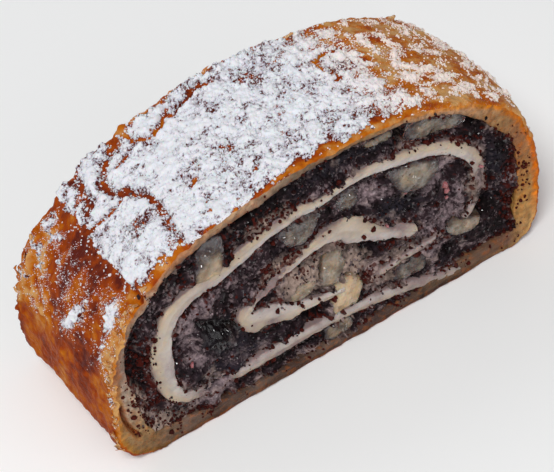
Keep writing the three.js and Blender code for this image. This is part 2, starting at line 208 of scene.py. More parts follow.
RED_PLACES = (  # red brown crumbs gather here
    (-46, 24, 2.6, 11, 6, 0.6), (-20, 45.6, 8, 2.4, 12, 0.3), (-30, 40.5, 5, 2.4, 25, 0.4),
    (-13, 28.4, 6, 2.6, 20, 0.5), (-17.2, 31.4, 1.6, 1.7, 30, 1), (-11.4, 30.6, 2, 1.6, -30, 0.7),
    (-19, 26.4, 3.4, 1, 10, 0.8), (-43, 24, 1.6, 8, 6, 0.7), (-44, 13, 2.6, 4.6, 16, 0.85),
    (-18.4, 44, 6, 1.4, 8, 0.6), (18, 43.3, 6, 1.2, -12, 0.9), (26.5, 38.6, 3, 1.2, -35, 0.8),
    (40.6, 22, 2.2, 8, 0, 0.9), (41, 12, 1.6, 6, 0, 0.7), (7, 27.6, 1.5, 1.8, 20, 0.6),
    (11, 20.6, 2.6, 1.4, -20, 0.9), (6, 16, 2.6, 2.4, 0, 0.7), (-35, 31, 2, 2, 30, 0.7),
    (-31.5, 32.6, 2, 1.2, 10, 0.5), (-7.6, 34.6, 1, 1.4, 0, 0.8), (-9.4, 26, 3, 3, 0, 0.5),
    (-5.4, 10.8, 1.5, 1.4, 0, 0.7), (-38, 5, 5, 1.8, 0, 0.6), (-2.8, 14.6, 0.9, 1.2, -35, 0.9),
)
SHEET_COVERS = (  # filling lies over the rolled sheet here, by so many millimetres
    (-30.4, 8.9, 3.4, 2.4, 0, 1.5), (33, 20.4, 2.4, 3.6, 0, 1.3), (32.6, 25.6, 2.2, 3.4, 0, 0.75),
    (26, 14.9, 4, 1.6, 0, 1.4), (16, 14.6, 7, 1.3, 0, 0.3), (5, 14.6, 3.6, 1.5, 0, 1.2),
    (-19.5, 26, 4.2, 1.2, 12, 0.75), (-13.6, 29.6, 3, 0.9, 32, 0.6), (-16, 27.4, 3, 1, 28, 0.6),
    (12, 24.6, 3, 0.8, -38, 0.5), (-17, 17.6, 2.4, 0.8, -30, 0.4), (-16.6, 28.6, 1, 3.2, 25, 0.35),
    (-24.6, 43, 3, 1, 12, 0.6), (-14, 42.6, 2, 0.8, 0, 0.45), (-5.2, 42.8, 2, 0.8, 0, 0.5),
    (25.4, 39.4, 4, 0.8, -32, 0.45), (-10.6, 31, 2.2, 0.9, 12, 0.4), (8.5, 27.6, 3, 0.9, -35, 0.35),
)

# --- what lies where on the crust ---------------------------------------------------------------

# Lines: the arc and back of each of its points, its width, and how deep it is.
CRACKS = (  # bare of sugar, and darker
    (((43, 34.5), (43, 32), (39, 29), (37, 25), (38, 22), (40, 20.5), (41, 18), (42.5, 15),
      (43, 12), (42.5, 8), (42, 3), (42, 0)), 1.5, 0.5),
    (((29, 21), (33, 20), (37, 19.3), (40, 20.5)), 1.1, 0.35),
    (((34, 34.5), (34, 29), (33.5, 25), (32, 24)), 1.7, 0.4),
)
CREASES = (  # bare of sugar
    (((45, 33), (46, 29), (49, 27), (52, 28.5), (54, 31)), 1, 0.5),
    (((54, 29), (58, 30), (61, 31.5), (64, 30.5)), 1.2, 0.5),
    (((84.5, 16), (86, 16.5), (84.5, 20), (84.5, 23), (88, 24.5), (90, 24)), 0.8, 0.25),
    (((44, 27), (41, 26.5)), 0.9, 0.2),
    (((50, 10.5), (51, 11.5)), 1, 0.2),
    (((61, 5.2), (62, 5.8)), 0.9, 0.2),
)
DIPS = (  # broad and shallow
    (((27.5, 0), (27.5, 12), (27, 22), (27.5, 34.5)), 3, 0.45),
    (((12, 8), (17, 10), (25, 9.5)), 1.4, 0.3),
)
FOLDS = (  # raised, and paler
    (((22, 31.5), (17, 30.5), (12.5, 28), (9, 24.5)), 0.8, -0.55),
    (((6, 33), (10, 31), (13, 26.5)), 0.7, -0.4),
    (((20, 28), (14, 24), (9, 21.5)), 0.8, -0.3),
)
# Places: arc, back, half length along the arc, half length back, tilt in degrees, strength.
SWELLINGS = (  # so many millimetres high
    (49, 31.4, 3.6, 3.4, 0, 1.2), (57.5, 33.6, 3.2, 2.4, 0, 1), (36, 11, 6, 8, 0, 0.4),
    (36, 29, 3, 5, 0, 0.4), (52, 16, 8, 9, 0, 0.3), (68, 33.4, 3, 2, 0, 0.5),
    (78, 33.8, 2.6, 1.6, 0, 0.5), (92, 33.8, 3.4, 1.4, 0, 0.4), (15, 31.5, 7, 1.4, -6, 0.8),
    (3, 16, 9, 5, 0, 0.4), (14, 2.6, 6, 1.6, 10, 0.7),
)
BURST_BLISTER = ((28.2, 1.3, 2.1, 1.7, 0, 1),)  # open at the front edge
SUGAR_PLACES = (  # more or less than the general cover, in spreads of the noise that breaks it up
    (15, 14.4, 5, 1.5, -27, 4.4), (22.4, 4.7, 3.6, 1.6, 0, 4.8), (14, 4, 4.4, 1.4, 0, 2),
    (25, 30, 2.6, 5, 0, 1.9), (31, 29, 3, 6, 0, -1.3), (29.5, 17, 1.6, 3, 0, -1),
    (14, 28, 4, 3.4, 0, 1), (18, 18, 8, 7, 0, 0.5), (22, 26, 4, 3, 0, 0.6),
    (9, 0.9, 3, 0.8, 10, 3.8), (4, 0.7, 2.4, 0.7, 0, 5.6), (47, 34, 4, 1.6, 0, -3.6),
    (43.6, 31.5, 1.6, 2.2, 0, -2.4), (56.5, 34.2, 4, 1.2, 0, -3.2), (66, 34.2, 5, 0.9, 0, -2),
    (37.5, 10.5, 2.6, 3.8, 0, -1.7), (57.5, 10.5, 2.8, 3.8, 0, -1.6), (53, 14, 1.4, 1.2, 0, -2.2),
    (59.2, 14.5, 1.5, 1.9, 0, -2), (73, 26.5, 4.2, 2.8, 0, -1.4), (68.5, 27, 1.4, 1, 0, -2),
    (64.5, 17.6, 1, 0.8, 0, -2.4), (49.6, 4, 1.2, 1.8, 0, -1.8), (78, 9.6, 1.6, 1, 0, -0.9),
    (85, 3.5, 2, 2.6, 0, -1.2), (99.5, 28.5, 2.2, 2, 0, -2.6), (94, 15, 2.4, 1.3, 0, -2.4),
    (96, 6.4, 2.4, 2.2, 0, -1.7), (80, 31.5, 10, 2.2, 0, -0.7), (50, 33, 3, 2, 0, -0.4),
)
BROWNING_PLACES = (  # darker, or paler where the strength is negative
    (28.2, 0.9, 0.8, 0.6, 0, 0.5), (28.2, 1.4, 3, 2, 0, -0.25), (27.4, 17, 2, 18, 0, 0.2),
    (23.5, 15, 5, 6, 0, 0.2), (9, 14, 4, 9, 0, 0.26), (15, 28.5, 8, 5.6, 0, -0.08),
    (14, 2.2, 7, 2.2, 0, -0.4), (-4, 24, 5, 6, 0, 0.12), (2, 24, 3, 2, 0, 0.14),
    (49, 32, 4, 4, 0, -0.22), (58, 33.4, 5, 2, 0, -0.2), (99.5, 28.5, 3, 3, 0, -0.12),
)

# --- helpers ------------------------------------------------------------------------------------


def linear(code):
    """The linear light of an sRGB hex colour and an alpha of 1: each part over 255, plus 0.055,
    over 1.055, to the power 2.4, or over 12.92 where it is dark."""
    parts = np.array([int(code[i : i + 2], 16) for i in (1, 3, 5)]) / 255
    light = np.where(parts <= 0.04045, parts / 12.92, ((parts + 0.055) / 1.055) ** 2.4)
    return (*light.tolist(), 1.0)


def mix(low, high, share):
    """low where share is 0 and high where it is 1."""
    return low + (high - low) * share


def bell(value, width=1):
    """1 where the value is 0: e to the minus square of the value over the width."""
    return np.exp(-((value / width) ** 2))


def smoothstep(low, high, value):
    """0 below low and 1 above high, with three times the square less twice the cube between."""
    share = np.clip((value - low) / (high - low), 0, 1)
    return share * share * (3 - 2 * share)


def window(value, start, full, fade, end):
    """1 from full to fade, falling smoothly to 0 at start and at end."""
    return smoothstep(start, full, value) * smoothstep(end, fade, value)


def level_along(arc, levels):
    """The level at an arc, straight between the listed arcs and levels."""
    return np.interp(arc, *np.transpose(levels))


def together(*coordinates):
    """Points from coordinates that may be columns, rows or numbers."""
    return np.stack(np.broadcast_arrays(*coordinates), -1)


def lattice(corner, seed):
    """A repeatable number from 0 to 1 for each corner of a lattice: its three whole numbers are
    multiplied by large odd numbers and mixed by exclusive or and shifts."""
    x, y, z = (corner[..., i].astype(np.int64) for i in range(3))
    mixed = (x * 374761393 + y * 668265263 + z * 2147483629 + seed * 974634777) & 0xFFFFFFFF
    mixed = ((mixed ^ (mixed >> 13)) * 1274126177) & 0xFFFFFFFF
    mixed = ((mixed ^ (mixed >> 16)) * 2246822519) & 0xFFFFFFFF
    return (mixed ^ (mixed >> 15)) / 2**32


NOISE_SPREAD = 0.27  # the standard deviation of the gradient noise before it is evened out


def noise(points, size, seed):
    """Smooth gradient noise with a spread of 1: on a lattice of this size each corner has a slope
    of random direction, and the slopes' values are blended by 6 t^5 - 15 t^4 + 10 t^3."""
    place = np.asarray(points) / size
    base = np.floor(place)
    part = place - base
    fade = part**3 * (part * (part * 6 - 15) + 10)
    total = np.zeros(place.shape[:-1])
    for shift in np.ndindex(2, 2, 2):
        corner = base + shift
        turn = 2 * np.pi * lattice(corner, seed)
        rise = 2 * lattice(corner, seed + 57) - 1
        flat = np.sqrt(1 - rise * rise)
        x, y, z = np.moveaxis(part - shift, -1, 0)
        value = flat * np.cos(turn) * x + flat * np.sin(turn) * y + rise * z
        share_x, share_y, share_z = np.moveaxis(np.where(shift, fade, 1 - fade), -1, 0)
        total += share_x * share_y * share_z * value
    return total / NOISE_SPREAD


def fractal(points, size, octaves, seed, gain=0.55):
    """Noise of spread 1 summed over octaves, each half the size of the last and gain as high."""
    gains = gain ** np.arange(octaves)
    total = sum(g * noise(points, size / 2**k, seed + 11 * k) for k, g in enumerate(gains))
    return total / np.sqrt((gains**2).sum())


def ridges(points, size, octaves, seed):
    """Thin winding lines, near 1 where noise passes through 0."""
    return 1 - np.abs(fractal(points, size, octaves, seed))


def grains(points, size, seed):
    """Cellular noise: one point scattered in each cell of a lattice. Gives the distance to the
    nearest point in cells, and that point's own random number."""
    place = np.asarray(points) / size
    base = np.floor(place)
    nearest = np.full(place.shape[:-1], 9.0)
    own = np.zeros_like(nearest)
    for shift in np.ndindex(3, 3, 3):
        corner = base + shift - 1
        spot = corner + np.stack([lattice(corner, seed + k) for k in range(3)], -1)
        distance = np.linalg.norm(place - spot, axis=-1)
        closer = distance < nearest
        nearest = np.where(closer, distance, nearest)
        own = np.where(closer, lattice(corner, seed + 3), own)
    return nearest, own


def blobs(u, v, places):
    """The sum of rounded patches: each is its strength times e to the minus distance squared,
    measured in its half widths and turned by its tilt."""
    total = np.zeros(np.broadcast(u, v).shape)
    for at_u, at_v, half_u, half_v, tilt, strength in places:
        turn = np.radians(tilt)
        du, dv = u - at_u, v - at_v
        along = (du * np.cos(turn) + dv * np.sin(turn)) / half_u
        aside = (dv * np.cos(turn) - du * np.sin(turn)) / half_v
        total += strength * np.exp(-(along**2 + aside**2))
    return total


def line_distance(u, v, line):
    """Distance from each point to a line of straight stretches: to the nearest point of each
    stretch, found by the share along it held between 0 and 1, and the least of them."""
    u, v = np.broadcast_arrays(u, v)
    best = np.full(u.shape, 1e9)
    line = np.asarray(line, float)
    for (u0, v0), (u1, v1) in zip(line[:-1], line[1:]):
        along = (u1 - u0, v1 - v0)
        length = along[0] ** 2 + along[1] ** 2
        share = np.clip(((u - u0) * along[0] + (v - v0) * along[1]) / length, 0, 1)
        best = np.minimum(best, np.hypot(u - u0 - share * along[0], v - v0 - share * along[1]))
    return best


def inside_distance(x, z, ring):
    """How far each point lies inside a closed ring of points, negative outside and -99 when more
    than 3 mm away from its box: the distance to the ring, with its sign from how many of the
    ring's sides a level line from the point meets."""
    closed = np.vstack([ring, ring[:1]])
    distance = np.full(x.shape, -99.0)
    low, high = ring.min(0) - 3, ring.max(0) + 3
    near = (x > low[0]) & (x < high[0]) & (z > low[1]) & (z < high[1])
    px, pz = x[near], z[near]
    reach = line_distance(px, pz, closed)
    (x0, z0), (x1, z1) = closed[:-1].T[:, :, None], closed[1:].T[:, :, None]
    rise = np.where(z1 == z0, 1e-9, z1 - z0)
    meets = ((z0 > pz) != (z1 > pz)) & (px < x0 + (pz - z0) * (x1 - x0) / rise)
    distance[near] = np.where(meets.sum(0) % 2 == 1, reach, -reach)
    return distance


def lengths(points):
    """How far along a line of points each of them is."""
    return np.append(0, np.cumsum(np.linalg.norm(np.diff(points, axis=0), axis=1)))


def smooth_ring(points, count):
    """A closed curve through points: a Catmull-Rom curve, resampled at even arc lengths."""
    points = np.asarray(points, float)
    t = np.linspace(0, len(points), count * 4, endpoint=False)
    i = t.astype(int)
    s = (t - i)[:, None]
    a, b, c, d = (points[(i + k) % len(points)] for k in (-1, 0, 1, 2))
    curve = 0.5 * (
        2 * b + (c - a) * s + (2 * a - 5 * b + 4 * c - d) * s**2 + (3 * b - a - 3 * c + d) * s**3
    )
    closed = np.vstack([curve, curve[:1]])
    length = lengths(closed)
    even = np.linspace(0, length[-1], count, endpoint=False)
    return np.stack([np.interp(even, length, values) for values in closed.T], -1)


def open_curve(points, spacing):
    """The centripetal Catmull-Rom curve through points, at even arc lengths of its first two
    coordinates: between two points it is a cubic whose end slopes come from the neighbours,
    weighted by the square roots of the distances."""
    points = np.asarray(points, float)
    points = np.vstack([2 * points[:1] - points[1:2], points, 2 * points[-1:] - points[-2:-1]])
    step = np.sqrt(np.linalg.norm(np.diff(points, axis=0), axis=1))[:, None]
    p0, p1, p2, p3 = points[:-3], points[1:-2], points[2:-1], points[3:]
    d0, d1, d2 = step[:-2], step[1:-1], step[2:]
    out = ((p1 - p0) / d0 - (p2 - p0) / (d0 + d1) + (p2 - p1) / d1) * d1
    into = ((p2 - p1) / d1 - (p3 - p1) / (d1 + d2) + (p3 - p2) / d2) * d1
    s = np.linspace(0, 1, 40, endpoint=False)[None, :, None]
    p1, p2, out, into = (part[:, None, :] for part in (p1, p2, out, into))
    curve = (
        p1 + out * s + (3 * (p2 - p1) - 2 * out - into) * s**2
        + (2 * (p1 - p2) + out + into) * s**3
    ).reshape(-1, points.shape[1])
    curve = np.vstack([curve, points[-2]])
    length = lengths(curve[:, :2])
    even = np.linspace(0, length[-1], int(length[-1] / spacing) + 1)
    return np.stack([np.interp(even, length, values) for values in curve.T], -1), even


# --- the loaf's surface -------------------------------------------------------------------------


def cut_at(t):
    """The cut's sizes at share t of the way back: mixed from the two cuts, and the right side
    swells by the sine of half a turn."""
    sizes = {name: front + (rear - front) * t for name, (front, rear) in CUTS.items()}
    sizes["right"] = sizes["right"] + SIDE_SWELL * np.sin(np.pi * t)
    return sizes


def carry_back(x, z, back):
    """The place in the slice of a point of the front cut, so far back. The cuts are superellipses
    above the widest level, so a point keeps its share of the way out to the edge and round it,
    and the roll's centre drifts towards the rear."""
    x, z, back = np.broadcast_arrays(x, z, back)
    t = np.clip(back / DEPTH, 0, 1)
    here = cut_at(t)
    left = x < CUTS["middle"][0]
    power = np.where(left, CUTS["left_shoulder"][0], CUTS["right_shoulder"][0])
    across = np.abs(x - CUTS["middle"][0]) / np.where(left, CUTS["left"][0], CUTS["right"][0])
    up = np.maximum(z - WIDEST, 0) / (CUTS["height"][0] - WIDEST)
    out = (across**power + up**power) ** (1 / power)
    bend = power / np.where(left, here["left_shoulder"], here["right_shoulder"])
    safe = np.maximum(out, 1e-9)
    drift = t * np.maximum(0, 1 - out) * smoothstep(0, WIDEST, z)
    reach = np.where(left, -here["left"], here["right"])
    new_x = here["middle"] + reach * out * (across / safe) ** bend + ROLL_DRIFT[0] * drift
    new_up = out * (up / safe) ** bend
    new_z = np.minimum(z, WIDEST) + (here["height"] - WIDEST) * new_up + ROLL_DRIFT[1] * drift
    return np.stack([new_x + SHIFT, back - DEPTH / 2, new_z], -1)


def wall_thickness(arc):
    """Thickness of the outer wall of dough at an arc, made uneven by noise."""
    return level_along(arc, WALL_BY_ARC) + 0.2 * fractal(together(*outline_at(arc), 0), 6, 3, 35)


def loaf_outline():
    """The loaf's outline on the front cut, clockwise from the middle of the underside: straight
    underside, quarter circles at the feet, and superellipse quarters over the top."""
    middle, left, right, height = (CUTS[n][0] for n in ("middle", "left", "right", "height"))
    turn = np.linspace(0, np.pi / 2, 1500)

    def shoulder(reach, power):
        x = middle + reach * np.cos(turn) ** (2 / power)
        return np.stack([x, WIDEST + (height - WIDEST) * np.sin(turn) ** (2 / power)], -1)

    def foot(side, away, radius):
        x = side - away * radius + away * radius * np.sin(turn)
        return np.stack([x, radius * (1 - np.cos(turn))], -1)

    start = np.array([[middle, 0.0]])
    return np.vstack([
        start,
        foot(middle - left, -1, FOOT_RADIUS["left"]),
        shoulder(-left, CUTS["left_shoulder"][0]),
        shoulder(right, CUTS["right_shoulder"][0])[::-1],
        foot(middle + right, 1, FOOT_RADIUS["right"])[::-1],
        start,
    ])


# The arc is the length along the outline halfway through the slice, from the level where the
# left side is widest.
OUTLINE = loaf_outline()
_halfway = carry_back(OUTLINE[:, 0], OUTLINE[:, 1], DEPTH / 2)
ARC = lengths(_halfway)
_level = np.argmax((OUTLINE[:, 1] >= WIDEST) & (OUTLINE[:, 0] < CUTS["middle"][0]))
ARC -= ARC[_level]
TOP_END = float(ARC[len(ARC) - 1 - np.argmax(OUTLINE[::-1, 1] >= WIDEST)])
BELOW_ARC = 21  # from the widest level down a side and round its foot


def outline_at(arc):
    """The outline's point on the front cut at an arc."""
    return np.interp(arc, ARC, OUTLINE[:, 0]), np.interp(arc, ARC, OUTLINE[:, 1])


def inward_at(arc):
    """The outline's inward direction on the front cut, square to the way along it."""
    (x0, z0), (x1, z1) = outline_at(arc - 0.4), outline_at(arc + 0.4)
    length = np.maximum(np.hypot(x1 - x0, z1 - z0), 1e-9)
    return (z1 - z0) / length, -(x1 - x0) / length


def loaf_point(arc, inward, back):
    """A point of the loaf so far inward from the outline and so far back."""
    x, z = outline_at(arc)
    in_x, in_z = inward_at(arc)
    return carry_back(x + in_x * inward, z + in_z * inward, back)


def outer_surface(arc, back):
    """Points of the loaf's smooth outer surface and the outward directions there, the cross
    product of the ways along the arc and back."""
    reach = 0.25
    along = loaf_point(arc + reach, 0, back) - loaf_point(arc - reach, 0, back)
    inner_back = np.clip(back, reach, DEPTH - reach)
    rear = loaf_point(arc, 0, inner_back + reach) - loaf_point(arc, 0, inner_back - reach)
    normal = np.cross(along, rear)
    normal /= np.maximum(np.linalg.norm(normal, axis=-1, keepdims=True), 1e-9)
    return loaf_point(arc, 0, back), normal


def crust_relief(arc, back, point):
    """How far the baked crust stands out from the smooth loaf: broad unevenness, wrinkles drawn
    out along the arc, small blisters, swellings at their places, creases whose section is a bell
    with a lower bell beside it, and torn edges."""
    flow = together(arc * 0.3, back + 0.12 * arc, 0)
    relief = 0.28 * fractal(point, 13, 3, 40) - 0.1
    relief += 0.1 * ridges(flow, 2.4, 3, 41) + 0.09 * fractal(point, 1.5, 3, 42)
    relief += 0.22 * ridges(flow, 6, 3, 45) * smoothstep(34, 22, arc)
    to_blister, own = grains(point, 2.2, 43)
    relief += 0.3 * (own > 0.8) * smoothstep(0.55, 0.1, to_blister)
    relief += blobs(arc, back, SWELLINGS)
    for line, width, depth in (*CRACKS, *CREASES, *DIPS, *FOLDS):
        away = line_distance(arc, back, line) / (0.6 * width)
        relief -= depth * bell(away)
        relief += 0.35 * depth * bell(away - 2.2)
    burst = blobs(arc, back, BURST_BLISTER)
    relief += 0.5 * bell(burst - 0.35, 0.2) - smoothstep(0.4, 0.75, burst)
    edge = np.exp(-back / 1.6) + np.exp(-(DEPTH - back) / 1.6)
    torn = window(arc, -2, 4, 18, 26)
    relief += edge * (0.12 + 0.3 * torn) * fractal(point, 1.3, 3, 44)
    ragged = window(arc, 38, 44, 76, 84) * smoothstep(DEPTH - 5, DEPTH - 1, back)
    relief += ragged * (0.35 * fractal(point, 2.4, 3, 46) + 0.1)
    below = smoothstep(-10, -BELOW_ARC, arc) + smoothstep(TOP_END + 10, TOP_END + BELOW_ARC, arc)
    return relief * (1 - 0.8 * np.clip(below, 0, 1))


# Levels along the arc: the sugar's general cover, how wide the crust's front edge is bare of
# it, and how dark the crust is baked.
COVER_BY_ARC = (
    (-30, -9), (2, -6), (8, -3.3), (14, -2.2), (25, -1.9), (26.6, -2.8), (28.7, -2.8), (29.4, 2.1),
    (60, 1.8), (84, 1.3), (92, 0.3), (100, -0.6), (110, -1.1), (120, -1.3), (128, -1.5),
    (136, -2.6), (150, -9),
)
BARE_EDGE_BY_ARC = (
    (28, 3), (31, 2.4), (42, 0.8), (46, 0), (64, 0.1), (68, 1.5), (90, 1.7), (110, 1.5),
)
BROWNING_BY_ARC = (
    (-40, 0.95), (-24, 0.9), (-14, 0.5), (-4, 0.47), (10, 0.5), (24, 0.55), (30, 0.56), (60, 0.6),
    (84, 0.44), (100, 0.2), (125, 0.18), (140, 0.26), (152, 0.46), (166, 0.85), (190, 0.95),
)


def warmth(arc):
    """How warm the sugar looks, from 0 on the left and top to 1 on the golden right shoulder."""
    return smoothstep(78, 102, arc)


def sugar_cover(arc, back, point):
    """How well icing sugar covers the crust: over 0 it hides it. The general cover changes along
    the arc, less at creases, bare places and the edges, and is broken up by noise of spread 1."""
    wavy = arc + 1.3 * fractal(point, 5, 3, 63) * smoothstep(8, 15, back)
    general = level_along(wavy, COVER_BY_ARC) + blobs(arc, back, SUGAR_PLACES)
    broken = fractal(point, 1.4, 3, 64)
    for line, width, _ in (*CRACKS, *CREASES):
        general -= 4.2 * bell(line_distance(arc, back, line), 0.56 * width) * (1 + 0.4 * broken)
    ragged = level_along(arc, BARE_EDGE_BY_ARC) + 0.9 * fractal(point, 2.6, 3, 62)
    on_top = smoothstep(24, 28, arc)
    general -= on_top * 4.5 * smoothstep(0.4, -0.4, back - ragged)
    general -= 1.2 * smoothstep(DEPTH - 1.4, DEPTH - 0.4, back)
    rear_left = smoothstep(36, 32, arc) * smoothstep(20, 24, back)
    patchy = np.maximum(smoothstep(80, 100, arc), 0.8 * rear_left)
    fine = fractal(point, 0.9, 3, 61, 0.75)
    coarse = fractal(point, 3.4, 3, 60, 0.5)
    return general + (0.55 + 1.1 * patchy) * coarse + (0.9 - 0.4 * patchy) * fine


def crust_browning(arc, back, point):
    """How dark the crust is baked, from 0, pale gold, to 1, dark red brown: levels along the arc,
    places that are darker or paler, and streaks and mottling from noise."""
    level = level_along(arc, BROWNING_BY_ARC) + blobs(arc, back, BROWNING_PLACES)
    front_edge = smoothstep(3, 0.6, back)
    level -= 0.3 * bell(back, 1.2) * window(arc, -12, -4, 22, 30)
    level -= 0.2 * front_edge * window(arc, 30, 40, 84, 96)
    level += 0.06 * front_edge * window(arc, 118, 128, 140, 150)
    for line, width, _ in FOLDS:
        level -= 0.3 * bell(line_distance(arc, back, line), 0.9 * width)
    for line, width, _ in CRACKS:
        level += 0.12 * bell(line_distance(arc, back, line), width)
    streaks = together(arc * 0.3, back + 0.2 * arc, 0)
    level += 0.14 * fractal(streaks, 4, 4, 51, 0.6)
    level += (0.1 - 0.06 * smoothstep(6, -2, arc)) * fractal(point, 1.6, 3, 52)
    level += 0.12 * fractal(point, 8, 2, 53)
    return np.clip(level, 0, 1)


# --- the cut faces ------------------------------------------------------------------------------

SHEET_LINE, SHEET_ALONG = open_curve(ROLLED_SHEET, 0.36)
SHEET_LINE[:, 2] += blobs(SHEET_LINE[:, 0], SHEET_LINE[:, 1], SHEET_SWELLS)


def inner_outline(count, share=1):
    """The outline on the front cut at even arcs, moved inwards by a share of the wall's
    thickness."""
    arc = np.linspace(ARC[0], ARC[-1], count, endpoint=False)
    x, z = outline_at(arc)
    in_x, in_z = inward_at(arc)
    inward = share * wall_thickness(arc)
    return np.stack([x + in_x * inward, z + in_z * inward], -1)


INNER_OUTLINE = inner_outline(500)


def sheet_distance(x, z):
    """How far each point lies outside the rolled sheet, negative inside: the distance to the
    nearest point of its middle line, less half its thickness there."""
    flat_x, flat_z = x.ravel(), z.ravel()
    best = np.empty(flat_x.shape)
    line_x, line_z, thickness = SHEET_LINE.T
    at_once = 8000  # points at a time, to save memory
    for start in range(0, len(flat_x), at_once):
        part = slice(start, start + at_once)
        away = np.hypot(flat_x[part, None] - line_x, flat_z[part, None] - line_z)
        best[part] = (away - thickness / 2).min(1)
    return best.reshape(x.shape)


def apple_ring(piece, face, count=72):
    """The outline of a piece of apple's cut face: on the front cut a smooth curve through its
    points, and on the rear cut a tilted ellipse made lumpy by two cosines."""
    if face == FRONT:
        return smooth_ring(piece[0], count)
    x, z, across, up, tilt = piece[:5]
    angle = np.linspace(0, 2 * np.pi, count, endpoint=False)
    lump = 1 + 0.09 * np.cos(3 * angle + x) + 0.06 * np.cos(2 * angle + z)
    flat = np.stack([across * lump * np.cos(angle), up * lump * np.sin(angle)], -1)
    turn = np.radians(tilt)
    turned = flat @ np.array([[np.cos(turn), np.sin(turn)], [-np.sin(turn), np.cos(turn)]])
    return turned + (x, z)


def cut_point(x, z, face, forward):
    """A point of a cut face, standing so far forward of the cut."""
    points = carry_back(x, z, 0 if face == FRONT else DEPTH)
    points[..., 1] += -forward if face == FRONT else forward
    return points


def cut_noise_place(x, z, face):
    """Coordinates for noise on a cut face, apart from the other face's."""
    return together(x, z, 80 * face)


def sheet_cover(x, z, face):
    """How deep the rolled sheet's face lies under the filling, at the places where it does."""
    place = cut_noise_place(x, z, face)
    if face == FRONT:
        cover = blobs(x, z, SHEET_COVERS)
    else:
        cover = 1.2 * smoothstep(0.5, 1.3, noise(place, 11, 70))
    return cover * (1 + 0.3 * noise(place, 1.6, 71))


def filling_height(x, z, face):
    """How far the filling stands forward of the cut: a rough level just behind it, with lumps,
    clefts and hollows, smeared over the dough's edges here and there, and pushed back behind the
    wall, the rolled sheet and the pieces of apple."""
    place = cut_noise_place(x, z, face)
    height = -0.7 + 0.5 * fractal(place, 6.5, 4, 82)
    for size, least, more, seed in ((2.6, 0.3, 0.9, 80), (0.95, 0.08, 0.3, 84)):
        away, own = grains(place, size, seed)
        height += (least + more * own) * (0.5 - away)
    height -= 0.8 * smoothstep(0.82, 1, ridges(place, 5, 3, 87))
    if face == FRONT:
        height += blobs(x, z, RISES) - blobs(x, z, HOLLOWS)
    else:
        height -= 2 * smoothstep(1.2, 2.2, noise(place, 4, 85))
    height = np.minimum(height, 0.45)
    smear = smoothstep(0, 1.3, fractal(place, 1.7, 3, 86))
    to_sheet = sheet_distance(x, z)
    bare = 1 - smoothstep(0.2, 0.6, sheet_cover(x, z, face))
    height += 0.95 * smear * bell(to_sheet, 0.75)
    height -= 1.6 * smoothstep(-0.1, -1, to_sheet) * bare
    to_wall = inside_distance(x, z, INNER_OUTLINE)
    height += 0.85 * smear * bell(to_wall, 0.8)
    open_wall = 1 - blobs(x, z, WALL_COVERS) if face == FRONT else 1
    height -= 1.6 * smoothstep(0, -1.1, to_wall) * np.clip(open_wall + 0.5 * smear, 0, 1)
    for piece in (FRONT_APPLE, REAR_APPLE)[face]:
        to_apple = inside_distance(x, z, apple_ring(piece, face))
        height += 0.8 * smear * bell(to_apple, 1.1)
        height -= 1.6 * smoothstep(0.3, 1.5, to_apple)
    return np.minimum(height, 0.85 * PROUD)


def filling_masks(x, z, face):
    """Looks of the filling at each point: pale, red, wet, milky and blue, from 0 to 1. Pale clouds
    and threads come from noise, patches lie at their places on the front cut and come from noise
    on the rear cut, and husks gather along the dough. The pale mask also holds painted shade,
    darker in hollows, clefts and under the wall, and in part a painted sheen on lumps."""
    place = cut_noise_place(x, z, face)
    cloud = fractal(place, 4.5, 4, 90, 0.7)
    threads = smoothstep(0.84, 1, ridges(place, 2.8, 3, 95)) * smoothstep(-0.5, 1.2, cloud)
    pale = 0.38 + 0.22 * cloud + 0.3 * threads + 0.08 * fractal(place, 0.9, 2, 96)
    to_sheet, to_wall = sheet_distance(x, z), inside_distance(x, z, INNER_OUTLINE)
    husks = 0.5 * (bell(to_sheet - 0.2, 0.9) + 0.7 * bell(to_wall))
    if face == FRONT:
        # Painted shade at the shade places; the pale places are in part a painted sheen on lumps.
        pale += 0.55 * blobs(x, z, PALE_PLACES) - 0.5 * blobs(x, z, PAINTED_SHADE_PLACES)
        blue = blobs(x, z, BLUE_PLACES)
        husks += 0.75 * blobs(x, z, RED_PLACES) - 0.5 * blue
        blue = 0.8 * blue + 0.2 * noise(place, 3, 98)
        wet = blobs(x, z, WET_PLACES)
        pale -= 0.35 * wet
        milky = blobs(x, z, MILKY_PLACES) + 0.16 * cloud
    else:
        pale += 0.12 * noise(place, 9, 93)
        husks += 0.2
        blue = 0.4 * smoothstep(0.6, 1.8, noise(place, 9, 98))
        wet = smoothstep(1.4, 2.2, noise(place, 7, 94))
        milky = smoothstep(0.6, 1.8, noise(place, 8, 97))
    milky += 0.3 * bell(to_sheet, 0.8) + 0.3 * bell(to_wall, 0.8)
    red = smoothstep(0.45, 1.1, husks + 0.5 * fractal(place, 1.3, 3, 92) + 0.15)
    masks = {"pale": pale, "red": red, "wet": wet, "milky": milky, "blue": blue}
    return {name: np.clip(value, 0, 1) for name, value in masks.items()}


# --- meshes -------------------------------------------------------------------------------------


def grid_faces(rows, columns, close_rows=False, close_columns=False):
    """The four-sided faces of a grid of points numbered row by row."""
    i = np.arange(rows if close_rows else rows - 1)[:, None]
    j = np.arange(columns if close_columns else columns - 1)[None, :]
    below, right = (i + 1) % rows, (j + 1) % columns
    faces = [i * columns + j, below * columns + j, below * columns + right, i * columns + right]
    return np.stack(faces, -1).reshape(-1, 4)


def grid_border(rows, columns):
    """The numbers of a grid's outermost points, in order round it."""
    number = np.arange(rows * columns).reshape(rows, columns)
    return np.concatenate([number[0, :-1], number[:-1, -1], number[-1, :0:-1], number[:0:-1, 0]])


def tube(rows, columns, start=0):
    """The faces of a grid that closes round its columns, and the rings of points at its ends."""
    ring = start + np.arange(columns)
    return start + grid_faces(rows, columns, False, True), [ring, ring[::-1] + (rows - 1) * columns]


